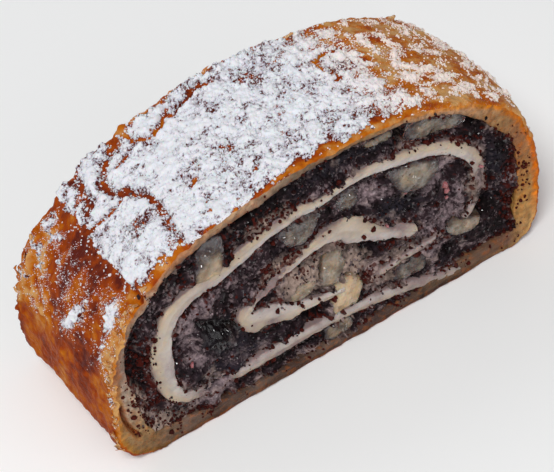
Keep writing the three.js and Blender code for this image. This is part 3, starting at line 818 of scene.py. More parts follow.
def outward_faces(points, faces, rings):
    """The faces and rings, turned round if the surface's volume comes out negative: the sum over
    its triangles of the corners' triple product, taken about the middle of the rings."""
    about = points[np.concatenate(rings)].mean(0) if rings else np.zeros(3)
    corners = points - about
    a, b, c = (corners[faces[:, k]] for k in range(3))
    volume = np.einsum("ij,ij->", a, np.cross(b, c))
    if faces.shape[1] == 4:
        volume += np.einsum("ij,ij->", a, np.cross(c, corners[faces[:, 3]]))
    if volume > 0:
        return faces, rings
    return faces[:, ::-1], [ring[::-1] for ring in rings]


def add_piece(name, points, faces, materials, nodes=(), masks=None, rings=(), looks=None):
    """A closed piece of the slice, from points in millimetres. rings are its many-cornered end
    faces, masks are numbers for each point that its materials read, and looks is each face's
    material. Nothing of it goes below the table."""
    points = np.array(points, float).reshape(-1, 3)
    points[:, 2] = np.maximum(points[:, 2], 0)
    faces, rings = outward_faces(points, faces, [np.asarray(ring) for ring in rings])
    corners = np.concatenate([faces.ravel(), *rings]).astype(np.int32)
    sizes = np.array([faces.shape[1]] * len(faces) + [len(ring) for ring in rings], np.int32)
    starts = (np.cumsum(sizes) - sizes).astype(np.int32)
    mesh = bpy.data.meshes.new(name)
    mesh.vertices.add(len(points))
    mesh.vertices.foreach_set("co", (points * MM).ravel())
    mesh.loops.add(len(corners))
    mesh.loops.foreach_set("vertex_index", corners)
    mesh.polygons.add(len(sizes))
    mesh.polygons.foreach_set("loop_start", starts)
    mesh.polygons.foreach_set("use_smooth", np.ones(len(sizes), bool))
    for material in materials:
        mesh.materials.append(material)
    if looks is not None:
        mesh.polygons.foreach_set("material_index", looks.astype(np.int32))
    for mask, values in (masks or {}).items():
        coloured = np.size(values) == 4 * len(points)
        kind, field = ("FLOAT_COLOR", "color") if coloured else ("FLOAT", "value")
        attribute = mesh.attributes.new(mask, kind, "POINT")
        attribute.data.foreach_set(field, np.asarray(values, np.float32).ravel())
    mesh.validate()
    mesh.update()
    piece = bpy.data.objects.new(name, mesh)
    bpy.context.scene.collection.objects.link(piece)
    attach(piece, "root")
    if nodes:
        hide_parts(*nodes)


def add_tube(name, points, material, nodes=(), masks=None):
    """A piece from a grid of points that closes round its columns, with a face at each end."""
    faces, rings = tube(*points.shape[:2])
    add_piece(name, points, faces, (material,), nodes, masks, rings)


def add_lumps(name, centres, sizes, seed, material, tones, stretch=(1, 0.8, 0.65)):
    """A piece of many small lumps: an icosahedron of 20 faces at each centre, with its corners
    moved in or out at random, stretched, and turned at random by a unit quaternion."""
    random = np.random.default_rng(seed)
    golden = (1 + 5**0.5) / 2
    corners = [
        (-1, golden, 0), (1, golden, 0), (-1, -golden, 0), (1, -golden, 0),
        (0, -1, golden), (0, 1, golden), (0, -1, -golden), (0, 1, -golden),
        (golden, 0, -1), (golden, 0, 1), (-golden, 0, -1), (-golden, 0, 1),
    ]
    faces = np.array([
        (0, 11, 5), (0, 5, 1), (0, 1, 7), (0, 7, 10), (0, 10, 11), (1, 5, 9), (5, 11, 4),
        (11, 10, 2), (10, 7, 6), (7, 1, 8), (3, 9, 4), (3, 4, 2), (3, 2, 6), (3, 6, 8),
        (3, 8, 9), (4, 9, 5), (2, 4, 11), (6, 2, 10), (8, 6, 7), (9, 8, 1),
    ])
    count, sides = len(centres), len(corners)
    quaternion = random.normal(size=(4, count))
    w, x, y, z = quaternion / np.linalg.norm(quaternion, axis=0)
    turn = np.stack([
        1 - 2 * (y * y + z * z), 2 * (x * y - z * w), 2 * (x * z + y * w),
        2 * (x * y + z * w), 1 - 2 * (x * x + z * z), 2 * (y * z - x * w),
        2 * (x * z - y * w), 2 * (y * z + x * w), 1 - 2 * (x * x + y * y),
    ], -1).reshape(-1, 3, 3)
    shape = np.array(corners) / np.hypot(1, golden) * random.uniform(0.75, 1.2, (count, sides, 1))
    shape = np.einsum("nij,nkj->nki", turn, shape * stretch)
    points = shape * np.asarray(sizes)[:, None, None] / 2 + np.asarray(centres)[:, None]
    all_faces = (faces + sides * np.arange(count)[:, None, None]).reshape(-1, 3)
    masks = {"tone": np.repeat(tones, sides)}
    add_piece(name, points, all_faces, (material,), masks=masks)


# --- sizes and colours a user would change ------------------------------------------------------


def size_setting(name, description, default_mm):
    """A length that a user may change."""
    return bpy.props.FloatProperty(
        name=name, description=description, default=default_mm * MM, min=0.0, soft_max=0.01,
        precision=5, unit="LENGTH", subtype="DISTANCE",
    )


def colour_setting(name, description, code):
    """A colour that a user may change, given as sRGB hex."""
    return bpy.props.FloatVectorProperty(
        name=name, description=description, default=linear(code), size=4, min=0.0, max=1.0,
        subtype="COLOR",
    )


class STRUDEL_PG_sizes(bpy.types.PropertyGroup):
    """Sizes of the slice's finish."""

    sugar_depth: size_setting("Sugar depth", "Thickness of the icing sugar where it is full", 0.5)
    rim_radius: size_setting("Rim radius", "Rounding where the crust meets a cut", 0.7)
    seed_length: size_setting("Seed length", "Length of a ground poppy seed", 0.55)
    crumb_length: size_setting("Crumb length", "Length of a red brown crumb", 0.62)
    sugar_grain: size_setting("Sugar grain", "Width of a clump of icing sugar", 0.36)
    seeds: bpy.props.IntProperty(
        name="Seeds", description="How many loose seeds lie on the cuts", default=2600, min=0
    )
    crumbs: bpy.props.IntProperty(
        name="Crumbs", description="How many red brown crumbs lie on the cuts", default=5000, min=0
    )
    sugar_grains: bpy.props.IntProperty(
        name="Sugar grains", description="How many clumps of sugar lie loose", default=9800, min=0
    )


class STRUDEL_PG_colours(bpy.types.PropertyGroup):
    """Colours of the slice."""

    crust_pale: colour_setting("Pale crust", "Crust that is hardly browned", "#c6945a")
    crust_gold: colour_setting("Golden crust", "Crust baked golden brown", "#b5640f")
    crust_brown: colour_setting("Brown crust", "Crust baked orange brown", "#973d0a")
    crust_dark: colour_setting("Dark crust", "The darkest crust", "#5a1e14")
    dough: colour_setting("Dough", "The rolled sheet inside the loaf", "#b9a78f")
    # Painted highlight along one side of the rolled sheet's cut face.
    dough_highlight: colour_setting("Cool dough", "The rolled sheet where it is whitest", "#c2b9b4")
    dough_stained: colour_setting("Stained dough", "Dough coloured by the filling", "#84716f")
    dough_milky: colour_setting("Milky filling", "Filling that is mixed with dough", "#a48e82")
    # Dark filling is also the painted shade in hollows, clefts and under the wall.
    filling_dark: colour_setting("Dark filling", "Wet ground poppy seed", "#100a0b")
    filling: colour_setting("Filling", "Moist ground poppy seed", "#2f2226")
    filling_blue: colour_setting("Blue filling", "Filling with whole slate blue seeds", "#29262f")
    # Pale filling is in part a painted sheen on lumps of filling.
    filling_pale: colour_setting("Pale filling", "Poppy seed with milk and semolina", "#9a868a")
    filling_red: colour_setting("Red filling", "Seed husks and fruit in the filling", "#45140d")
    apple_cream: colour_setting("Cream apple", "Ripe cooked apple", "#c4a680")
    apple_green: colour_setting("Green apple", "Glassy cooked apple", "#878072")
    # Stained apple is also the painted shade over the tops of some pieces of apple.
    apple_dark: colour_setting("Stained apple", "Apple that took up the filling", "#4c3d33")
    sugar: colour_setting("Icing sugar", "Dry icing sugar", "#eeeff4")
    # Thin sugar is also the painted shade between clumps and drifts of sugar.
    sugar_thin_and_shade: colour_setting("Thin sugar", "Sugar with the crust showing through", "#b5b0ba")
    sugar_warm: colour_setting("Warm sugar", "Sugar lit by the golden crust round it", "#fdebe2")
    sugar_dusting: colour_setting("Dusting", "A dusting of sugar on golden crust", "#c9a08b")
    fruit_dark: colour_setting("Dark fruit", "Red fruit where it is thick", "#5f2028")
    fruit_pale: colour_setting("Pale fruit", "Red fruit where light comes through", "#b97a7c")
    board: colour_setting("Board", "The board that the slice stands on", "#f7f7f6")
    room: colour_setting("Room", "The pale room that lights the slice", "#f4f6fa")


# --- materials ----------------------------------------------------------------------------------

MIX_SHARE, MIX_UNDER, MIX_OVER, MIX_RESULT = 0, 6, 7, 2  # the Mix node's sockets for colours


def add_node(tree, kind, inputs, output=0, **properties):
    """Adds a node, sets its properties, and sets each input to a value or links it to another
    node's output. The inputs are in the node's own order, or with their names or numbers."""
    node = tree.nodes.new("ShaderNode" + kind)
    for name, value in properties.items():
        setattr(node, name, value)
    inputs = inputs if isinstance(inputs, dict) else dict(enumerate(inputs))
    for socket, value in inputs.items():
        if isinstance(value, bpy.types.NodeSocket):
            tree.links.new(value, node.inputs[socket])
        else:
            node.inputs[socket].default_value = value
    return node.outputs[output] if node.outputs else None


def makes_material(name):
    """Turns a function that gives the Principled shader's inputs into one that makes a material
    of this name. The function gets the one that adds nodes, and the colours."""

    def made_by(inputs_of):
        @wraps(inputs_of)
        def make():
            new = bpy.data.materials.new(name)
            new.use_nodes = True
            new.node_tree.nodes.clear()
            add = partial(add_node, new.node_tree)
            shader = add("BsdfPrincipled", inputs_of(add, bpy.context.scene.strudel_colours))
            add("OutputMaterial", (shader,))
            return new

        return make

    return made_by


def pattern(add, size_mm, detail=3, roughness=0.55, stretch=(1, 1, 1)):
    """Noise in Object coordinates whose features are this many millimetres wide. The noise
    texture's features are one unit wide at scale 1, so its scale is 1 over the size in metres."""
    place = add("Mapping", {"Vector": add("TexCoord", (), "Object"), "Scale": stretch})
    scale = 1 / (size_mm * MM)
    inputs = {"Vector": place, "Scale": scale, "Detail": detail, "Roughness": roughness}
    return add("TexNoise", inputs, "Fac")


def uneven(add, size_mm, detail, roughness, reach, middle=0.2):
    """A pattern from minus to plus this reach: its noise, which gathers round 0.5, is stretched
    so that the middle on both sides of 0.5 fills the whole range."""
    noise_value = pattern(add, size_mm, detail, roughness)
    return add("MapRange", (noise_value, 0.5 - middle, 0.5 + middle, -reach, reach))


def masked(add, mask, unevenness):
    """A mask that the mesh holds, with an unevenness added."""
    value = add("Attribute", (), "Fac", attribute_name=mask)
    return add("Math", (value, unevenness), operation="ADD")


def layered(add, colour, *layers):
    """A colour with others laid over it. Each layer is a value, the two values between which the
    layer grows from nothing to its full share, that share, and its colour."""
    for value, low, high, most, over in layers:
        share = add("MapRange", (value, low, high, 0, most))
        inputs = {MIX_SHARE: share, MIX_UNDER: colour, MIX_OVER: over}
        colour = add("Mix", inputs, MIX_RESULT, data_type="RGBA")
    return colour


def bumps(add, *heights):
    """Normals from patterns, each with how many millimetres high its whole range is."""
    inputs = {}
    for height, depth_mm in heights:
        inputs = {"Normal": add("Bump", {"Height": height, "Distance": depth_mm * MM, **inputs})}
    return inputs["Normal"]


@makes_material("butter_brushed_baked_pastry")
def baked_crust(add, colours):
    """Strudel pastry brushed with butter and baked: a thin skin that browned unevenly, so it goes
    from gold to red brown in streaks and spots, with a soft fatty gloss and sugar dust in it."""
    level = masked(add, "browning", uneven(add, 2.2, 4, 0.6, 0.14))
    dust = masked(add, "dust", uneven(add, 0.3, 4, 0.7, 1.1, 0.14))
    colour = layered(
        add, colours.crust_pale, (level, 0.05, 0.32, 1, colours.crust_gold),
        (level, 0.32, 0.6, 1, colours.crust_brown), (level, 0.6, 0.95, 1, colours.crust_dark),
        (dust, 0, 0.9, 0.85, colours.sugar),
    )
    skin_rough = add("MapRange", (pattern(add, 1.6), 0.3, 0.7, 0.34, 0.56))
    dust_rough = add("MapRange", (dust, 0, 0.9, 0, 0.765))
    return {
        "Base Color": colour,
        "Roughness": add("Math", (skin_rough, dust_rough), operation="MAXIMUM"),
        "Normal": bumps(add, (pattern(add, 1.1, 4), 0.35), (pattern(add, 0.3), 0.12)),
        "Subsurface Weight": 0.06, "Subsurface Scale": 0.001, "Specular IOR Level": 0.045,
    }


@makes_material("cut_baked_dough")
def cut_dough(add, colours):
    """Baked strudel dough cut with a knife: cream and close where it is thick, tan where it is
    dry, browned towards the crust, and dark on the underside, partly damp and partly painted
    shade. Matt."""
    skin = masked(add, "skin", uneven(add, 1.2, 4, 0.6, 0.3))
    browned = layered(
        add, colours.crust_gold, (skin, 0, 0.65, 1, colours.crust_brown),
        (skin, 0.65, 1, 1, colours.crust_dark),
    )
    colour = layered(
        add, add("Attribute", (), "Color", attribute_name="tone"), (skin, 0, 0.6, 0.8, browned),
        (pattern(add, 0.5, 2), 0.64, 0.72, 0.7, colours.crust_dark),
        (pattern(add, 0.35), 0.6, 0.75, 0.18, colours.dough),
    )
    return {
        "Base Color": colour,
        "Normal": bumps(add, (pattern(add, 1.2, 4), 0.45), (pattern(add, 0.3, 2), 0.08)),
        "Roughness": 0.5, "Subsurface Weight": 0.12, "Subsurface Scale": 0.0015,
        "Specular IOR Level": 0.08,
    }


@makes_material("steamed_inner_dough")
def rolled_dough(add, colours):
    """Strudel dough steamed inside the loaf: smooth, cream and slightly glassy, with faint
    layers along it, greyish pink where the filling has stained it, and whiter along one side of
    its cut face as a painted highlight."""
    wobble = uneven(add, 1.8, 4, 0.6, 0.25)
    colour = layered(
        add, colours.dough, (masked(add, "sheet_highlight", wobble), 0, 1, 1, colours.dough_highlight),
        (masked(add, "stain", wobble), 0, 1, 1, colours.dough_stained),
        (pattern(add, 0.55, 1), 0.74, 0.78, 0.8, colours.filling_red),
    )
    return {
        "Base Color": colour,
        "Normal": bumps(add, (pattern(add, 1.4), 0.18), (pattern(add, 0.3, 2), 0.03)),
        "Roughness": 0.45, "Subsurface Weight": 0.25, "Subsurface Scale": 0.002,
        "Specular IOR Level": 0.15,
    }


@makes_material("ground_poppy_seed_paste")
def poppy_paste(add, colours):
    """Ground poppy seed cooked with milk: a moist, close, grainy paste, nearly black where it is
    wet and grey purple where it is dry, with red brown husks. Its moist grains glint. Its colour
    also holds painted shade in hollows and clefts and, in part, a painted sheen on lumps."""
    clouds = uneven(add, 1.6, 4, 0.62, 0.24)
    speckle = uneven(add, 0.5, 2, 0.6, 0.1, 0.18)
    pale = masked(add, "pale", add("Math", (clouds, speckle), operation="ADD"))
    husks = uneven(add, 0.7, 2, 0.6, 0.4, 0.15)
    wet = add("Attribute", (), "Fac", attribute_name="wet")
    colour = layered(
        add, colours.filling_dark, (pale, 0, 0.45, 1, colours.filling),
        (pale, 0.45, 1, 1, colours.filling_pale),
        (masked(add, "blue", clouds), 0.1, 0.9, 0.7, colours.filling_blue),
        (masked(add, "milky", clouds), 0.15, 0.95, 0.9, colours.dough_milky),
        (masked(add, "red", husks), 0.35, 0.8, 0.85, colours.filling_red),
        (wet, 0, 1, 0.85, colours.filling_dark),
    )
    glints = add("MapRange", (pattern(add, 1.1, 2), 0.6, 0.66, 0, 0.8))
    wet_gloss = add("MapRange", (wet, 0.2, 0.7, 0, 0.55))
    return {
        "Base Color": colour,
        "Roughness": add("MapRange", (wet, 0.1, 0.6, 0.6, 0.4)),
        "Normal": bumps(add, (pattern(add, 1.2), 0.5), (pattern(add, 0.5, 2), 0.1)),
        "Coat Weight": add("Math", (wet_gloss, glints), operation="MAXIMUM"),
        "Coat Normal": bumps(add, (pattern(add, 1.8, 0), 3)),
        "Specular IOR Level": 0.05, "Coat Roughness": 0.06, "Coat IOR": 1.8,
    }


@makes_material("cooked_apple_flesh")
def cooked_apple(add, colours):
    """Apple cooked in the filling: glassy flesh with fine pale fibres, cream to grey green,
    stained brown by the juice towards its edges, and wet enough to glint. Its shade mask also
    holds painted shade over the tops of some pieces."""
    cream = masked(add, "cream", uneven(add, 2.2, 3, 0.5, 0.4))
    shade = masked(add, "shade", uneven(add, 2.4, 3, 0.5, 0.36))
    fibres = pattern(add, 0.8, 4, 0.65, stretch=(1, 1, 2))
    colour = layered(
        add, colours.apple_green, (cream, 0, 1, 1, colours.apple_cream),
        (shade, 0, 1, 1, colours.apple_dark), (shade, 1, 1.5, 0.95, colours.filling),
        (fibres, 0.56, 0.76, 0.2, colours.apple_cream),
        (pattern(add, 0.5, 1), 0.7, 0.75, 0.8, colours.filling_red),
    )
    return {
        "Base Color": colour,
        "Normal": bumps(add, (pattern(add, 2.2, 3, 0.5), 0.5)),
        "Coat Normal": bumps(add, (pattern(add, 1.9, 0), 3.4)),
        "Coat Weight": add("MapRange", (pattern(add, 1.8, 2), 0.4, 0.54, 0.15, 1)),
        "Roughness": 0.4, "Subsurface Weight": 0.5, "Subsurface Scale": 0.003,
        "Specular IOR Level": 0.2, "Coat Roughness": 0.06, "Coat IOR": 1.7,
    }


@makes_material("sifted_icing_sugar")
def icing_sugar(add, colours):
    """Icing sugar sifted on: dry white powder, soft and without gloss, in small clumps. It looks
    slightly blue where it lies thick, warm where golden crust lights it, and lets the crust show
    where it is thin. Its grey lavender between clumps and across drifts is painted shade."""
    # Painted shade: the clumps and drifts patterns grey the sugar towards its thin colour.
    clumps = uneven(add, 0.5, 3, 0.7, 0.44, 0.17)
    drifts = add("MapRange", (pattern(add, 4, 3, 0.6), 0.32, 0.68, -0.6, 0.48))
    thin = add("Math", (masked(add, "thin", clumps), drifts), operation="ADD")
    thin = add("MapRange", (thin, -0.1, 1.15))
    warm = add("Attribute", (), "Fac", attribute_name="tone")
    thick, sparse, bare = (
        layered(add, cool_colour, (warm, 0, 1, 1, warm_colour))
        for cool_colour, warm_colour in (
            (colours.sugar, colours.sugar_warm), (colours.sugar_thin_and_shade, colours.sugar_dusting),
            (colours.crust_dark, colours.crust_gold),
        )
    )
    colour = layered(add, thick, (thin, 0.1, 0.56, 1, sparse), (thin, 0.56, 0.72, 1, bare))
    return {
        "Base Color": colour,
        "Normal": bumps(add, (pattern(add, 0.5, 4, 0.7), 0.3), (pattern(add, 0.2, 2), 0.1)),
        "Roughness": 1, "Specular IOR Level": 0.1, "Subsurface Weight": 0.15,
        "Subsurface Scale": 0.0006,
    }


def ground_husk(add, dark, pale):
    """The inputs of a hard bit of husk, from dark to pale by its own tone, with a dull shine."""
    tone = masked(add, "tone", uneven(add, 0.3, 3, 0.55, 0.2))
    colour = layered(add, dark, (tone, 0, 1, 1, pale))
    return {"Base Color": colour, "Roughness": 0.5, "Specular IOR Level": 0.06}


@makes_material("broken_poppy_seed")
def seed_husk(add, colours):
    """Poppy seeds broken in the mill: hard little husks from slate blue to black, dull."""
    return ground_husk(add, colours.filling_dark, colours.filling_pale)


@makes_material("red_brown_husk_crumb")
def husk_crumb(add, colours):
    """Crumbs of seed skin and cooked fruit: red brown, slightly moist."""
    return ground_husk(add, colours.filling_dark, colours.filling_red)


@makes_material("cooked_red_fruit")
def fruit_flesh(add, colours):
    """Bits of red fruit cooked in the filling: wet, clear and pink red."""
    colour = layered(add, colours.fruit_dark, (pattern(add, 0.7), 0, 1, 1, colours.fruit_pale))
    return {"Base Color": colour, "Roughness": 0.2, "Subsurface Weight": 0.3,
            "Subsurface Scale": 0.001}


@makes_material("pale_painted_board")
def pale_board(add, colours):
    """A board painted pale: plain and matt, so that only the slice's shadow shows on it."""
    return {"Base Color": colours.board, "Roughness": 0.8, "Specular IOR Level": 0.2}


# --- the pieces ---------------------------------------------------------------------------------

RIM_TURN = np.radians([12, 34, 56, 78])  # the angles of the rows round a rounded edge
CRUST_STEP, UNDERSIDE_STEP = 0.32, 1.5  # how far apart the crust's points are round the loaf
BACK_ROWS = 108  # rows of points from the front of the crust to its rear
# A slit in the wall on the front cut, where two layers of dough part.
SLIT = ((-50.5, 17.5), (-50.3, 14.5), (-49.8, 12), (-49, 9.6), (-47.8, 7.4))

# The cut wall's colours by arc: under the crust, and next to the filling. Round the
# underside they are dark, partly from damp dough and partly as painted shade.
WALL_TONES = (
    (-60, "#46322a", "#5c4a40"), (-51, "#442a1a", "#3a2a24"), (-42, "#48342a", "#54463e"),
    (-33, "#402a20", "#48362e"), (-24, "#4a3220", "#665246"), (-15, "#744c1a", "#6e5336"),
    (-6, "#96682a", "#886c4a"), (3, "#946432", "#9c8878"), (12, "#7c4e36", "#7e6a5e"),
    (21, "#846551", "#786657"), (30, "#946644", "#957a66"), (39, "#9c6b4a", "#7a6050"),
    (48, "#a07c5a", "#7a604c"), (57, "#a4866a", "#846956"), (66, "#7c6856", "#5c4c40"),
    (75, "#6e5434", "#5e4a3c"), (84, "#8a6434", "#7c6450"), (93, "#a86c34", "#94745a"),
    (102, "#b07230", "#a07c60"), (111, "#b06a14", "#947050"), (120, "#a65a04", "#8a6844"),
    (129, "#aa5802", "#7c5236"), (138, "#b85600", "#92663e"), (147, "#bc6404", "#98703e"),
    (156, "#bc945c", "#9c764a"), (165, "#725636", "#5c4033"), (174, "#4e3624", "#624b3c"),
    (183, "#33201a", "#54402f"), (192, "#402a20", "#48372e"), (201, "#462e24", "#443430"),
)
WALL_GAIN = 1.2  # the wall's own colour over the colour it shows in the room's light


def wall_tone(arc, share, place):
    """The cut wall's colour, mixed from the two tones at the arc by the share of the way in, and
    made uneven by noise."""
    arcs, outer_tones, inner_tones = zip(*WALL_TONES)
    parts = []
    for tones in (outer_tones, inner_tones):
        light = np.transpose([linear(tone) for tone in tones])[:3]
        parts.append(np.stack([np.interp(arc, arcs, channel) for channel in light], -1))
    way = np.clip(share + 0.22 * fractal(place, 1.8, 3, 35), 0, 1)[..., None]
    shade = 1 + 0.26 * fractal(place, 1.6, 4, 36, 0.6)[..., None]
    tone = mix(parts[0], parts[1], way) * shade * WALL_GAIN
    return np.concatenate([np.clip(tone, 0, 1), np.ones_like(way)], -1)


def crust_stations():
    """Arcs round the loaf, close together on the sides and top, and far on the underside: the
    steps are added up along a fine division, and read back at whole numbers."""
    fine = np.linspace(ARC[0], ARC[-1], 6000, endpoint=False)
    shown = (fine > -BELOW_ARC) & (fine < TOP_END + BELOW_ARC)
    step = np.where(shown, CRUST_STEP, UNDERSIDE_STEP)[1:]
    station = np.append(0, np.cumsum(np.diff(fine) / step))
    return np.interp(np.arange(int(station[-1])), station, fine)


class STRUDEL_OT_crust(bpy.types.Operator):
    """Make the outer wall: browned crust outside, cut dough at both cuts"""

    bl_idname = "strudel.crust"
    bl_label = "Crust"

    def execute(self, context):
        radius = context.scene.strudel_sizes.rim_radius / MM
        inner = 0.5 * radius
        arc = crust_stations()[:, None]
        wall = wall_thickness(arc)
        one = np.ones_like(arc)
        # The profile runs up the front cut, over the crust, down the rear cut, and back inside.
        front_rows, rear_rows = np.linspace(0, 1, 16), np.linspace(0, 1, 9)
        outer_back = np.linspace(radius, DEPTH - radius, BACK_ROWS)
        inner_back = np.array([DEPTH - 1.5, DEPTH / 2, 3, 1.2])
        bulge, drop = 1 - np.sin(RIM_TURN), 1 - np.cos(RIM_TURN)
        inward = np.hstack([
            wall - inner - (wall - inner - radius) * front_rows, radius * bulge * one,
            0 * outer_back * one, radius * drop * one,
            radius + (wall - radius - inner) * rear_rows, wall - inner * bulge,
            wall + 0 * inner_back, wall - inner * drop,
        ])
        back = one * np.concatenate([
            0 * front_rows, radius * drop, outer_back, DEPTH - radius * bulge,
            DEPTH + 0 * rear_rows, DEPTH - inner * drop, inner_back, inner * bulge,
        ])
        columns = inward.shape[1]
        first = len(front_rows)  # the crust's own columns run from first to last
        last = first + 2 * len(RIM_TURN) + len(outer_back)
        number = np.arange(columns)[None, :]
        on_front = (number < first + 2) | (number >= columns - 2)
        on_rear = (number >= last - 2) & (number < last + len(rear_rows) + 2)
        arcs = arc + 0 * back
        surface, outward = outer_surface(arcs, back)
        relief = crust_relief(arcs, back, surface)
        fade = np.clip(1 - inward / np.minimum(wall, 2.4), 0, 1)
        points = loaf_point(arcs, inward, back) + outward * (relief * fade)[..., None]
        face_x, face_z = points[..., 0] - SHIFT, points[..., 2]
        to_slit = line_distance(face_x, face_z, SLIT)
        rough = 0.13 * fractal(points, 2.6, 3, 30) + 0.06 * fractal(points, 0.9, 2, 31)
        forward = rough * (on_front | on_rear) - 2.6 * bell(to_slit, 0.33) * on_front
        points[..., 1] += np.where(on_rear, 1, -1) * forward
        skin = 0.75 - inward / 0.9 + 0.14 * fractal(points, 1.8, 3, 33)
        skin = np.maximum(skin, 0.5 * bell(to_slit, 0.6) * on_front)
        share_in = smoothstep(0.3, 0.85, inward / np.minimum(wall, 2.7))
        tone = wall_tone(arcs, share_in, together(face_x, face_z, 30 * on_rear))
        stained = smoothstep(0.72, 1, inward / wall) * window(arcs, 20, 30, 116, 126)
        tone[..., :3] *= 1 - 0.45 * stained[..., None]
        cover = sugar_cover(arcs, back, surface)
        browning = crust_browning(arcs, back, surface)
        browning += 0.4 * smoothstep(-0.9, -0.1, cover) * window(arcs, 28, 30, 84, 98)
        veil = window(arcs, 84, 94, 122, 136)
        dust = np.maximum(0.5 * cover - 0.1 - 0.2 * veil, mix(-3, -0.8, veil))
        dust = np.where(number < first, -3, dust)
        faces = grid_faces(len(arc), columns, True, True)
        outside = (one * ((number >= first) & (number < last)) > 0).ravel()
        looks = np.where(outside[faces].all(1), 0, 1)
        masks = {"browning": browning, "dust": dust, "skin": skin, "tone": tone}
        add_piece("pastry_crust", points, faces, (baked_crust(), cut_dough()),
                  ("rolled_dough",), masks, looks=looks)
        return {"FINISHED"}


SHEET_STAINS = (  # the rolled sheet is stained by the filling here
    (-10, 9, 18, 3, 0, 0.85), (22, 5, 12, 3.4, -10, 1.2), (31, 24, 3, 8, 0, 0.9),
    (28, 36, 4, 3, -40, 0.3), (16, 14.7, 10, 1.4, 0, 0.5), (-20, 20, 5, 2.6, -35, 0.4),
    (13, 23, 5, 2, -35, 0.5), (-34, 35.4, 5, 1.4, 15, 0.3), (-20, 40, 5, 1.4, 20, 0.3),
)
TORN_SHEET = ((-3, 24, 27, 12, 0, 1),)  # its edges are more ragged here


class STRUDEL_OT_rolled_dough(bpy.types.Operator):
    """Make the sheet of dough that is rolled up inside the loaf"""

    bl_idname = "strudel.rolled_dough"
    bl_label = "Rolled dough"

    def execute(self, context):
        x, z, thickness = SHEET_LINE.T[:, :, None]
        along = SHEET_ALONG[:, None]
        slope = np.gradient(SHEET_LINE[:, :2], axis=0)
        slope /= np.linalg.norm(slope, axis=1, keepdims=True)
        across_x, across_z = -slope[:, 1:2], slope[:, 0:1]
        # The profile: the front cut, a side, the rear cut and the other side, with rounded edges.
        front = np.linspace(-0.84, 0.84, 13)
        rear = np.linspace(0.84, -0.84, 9)
        side = np.array([1.2, DEPTH / 2, DEPTH - 1.2])
        edge = np.array([0.95, 1])
        depth = np.array([0.1, 0.4])
        share = np.concatenate(
            [front, edge, 1 + 0 * side, edge[::-1], rear, -edge, -1 + 0 * side, -edge[::-1]]
        )
        back = np.concatenate([
            0 * front, depth, side, DEPTH - depth[::-1], DEPTH + 0 * rear,
            DEPTH - depth, side[::-1], depth[::-1],
        ]) + 0 * along
        end = np.minimum(along, along[-1] - along)
        taper = np.sqrt(np.clip(end / 1.4, 0.02, 1))
        path = together(along, 30 * np.sign(share), back)
        torn = blobs(x, z, TORN_SHEET)
        half = 0.5 * thickness * taper * (1 + (0.07 + 0.09 * torn) * fractal(path, 4, 3, 100))
        at_x = x + across_x * share * half
        at_z = z + across_z * share * half
        on_front, on_rear = back < 0.5, back > DEPTH - 0.5
        on_cut = on_front | on_rear
        layers = together(along * 0.25, share * half, 7 * on_rear)
        forward = 0.2 * (1 - share**2) - 0.12 + 0.1 * fractal(path, 3, 3, 101)
        forward = forward + 0.07 * fractal(layers, 0.7, 2, 102)
        cover = sheet_cover(at_x, at_z, FRONT) * on_front + sheet_cover(at_x, at_z, REAR) * on_rear
        back = back + np.where(on_rear, 1, -1) * (forward - cover) * on_cut
        points = carry_back(at_x, at_z, back)
        stain = 0.15 + 0.35 * np.abs(share) ** 4 + 0.5 * blobs(at_x, at_z, SHEET_STAINS)
        hidden = (back > 0.5) & (back < DEPTH - 0.5)
        stain = stain + 0.15 * fractal(path, 8, 3, 103) + 0.6 * hidden + 0.9 * np.clip(cover, 0, 1)
        # Painted highlight: the sheet is whiter and cooler along one side of its cut face.
        sheet_highlight = 0.5 - 0.7 * share + 0.2 * fractal(path, 9, 2, 104)
        add_tube("inner_dough_sheet", points, rolled_dough(), ("rolled_dough",),
                 {"stain": stain, "sheet_highlight": sheet_highlight})
        return {"FINISHED"}


def filling_grid(columns, rows):
    """Points of a cut face out to the middle of the wall, on a square grid stretched to the
    loaf's outline: each side of the square is pressed round to a circle by the root of one less
    half the other's square, and the circle is scaled to the outline's reach in each direction."""
    u, v = np.meshgrid(np.linspace(-1, 1, columns), np.linspace(-1, 1, rows))
    disc_x, disc_z = u * np.sqrt(1 - v * v / 2), v * np.sqrt(1 - u * u / 2)
    middle_x, middle_z = -2, 24
    edge_x, edge_z = (inner_outline(2000, 0.5) - (middle_x, middle_z)).T
    angle = np.arctan2(edge_z, edge_x)
    distance = np.hypot(edge_x, edge_z)
    reach = np.interp(np.arctan2(disc_z, disc_x), angle, distance, period=2 * np.pi)
    return middle_x + disc_x * reach, middle_z + disc_z * reach


class STRUDEL_OT_filling(bpy.types.Operator):
    """Make the poppy seed filling, a grainy mass up to half the slice deep behind each cut"""

    bl_idname = "strudel.filling"
    bl_label = "Filling"

    def execute(self, context):
        material = poppy_paste()
        grids = (("poppy_filling_front", FRONT, 410, 205), ("poppy_filling_rear", REAR, 290, 145))
        for name, face, columns, rows in grids:
            x, z = filling_grid(columns, rows)
            points = cut_point(x, z, face, filling_height(x, z, face)).reshape(-1, 3)
            # A strip goes straight back from the face's border to a flat end.
            border = grid_border(rows, columns)
            deep = carry_back(x.ravel()[border], z.ravel()[border], DEPTH / 2)
            ring = len(points) + np.arange(len(border))
            strip = np.stack([border, np.roll(border, -1), np.roll(ring, -1), ring], -1)
            faces = np.vstack([grid_faces(rows, columns), strip])
            masks = filling_masks(x, z, face)
            masks = {k: np.append(v.ravel(), v.ravel()[border]) for k, v in masks.items()}
            add_piece(name, np.vstack([points, deep]), faces, (material,),
                      ("poppy_filling",), masks, (ring,))
        return {"FINISHED"}


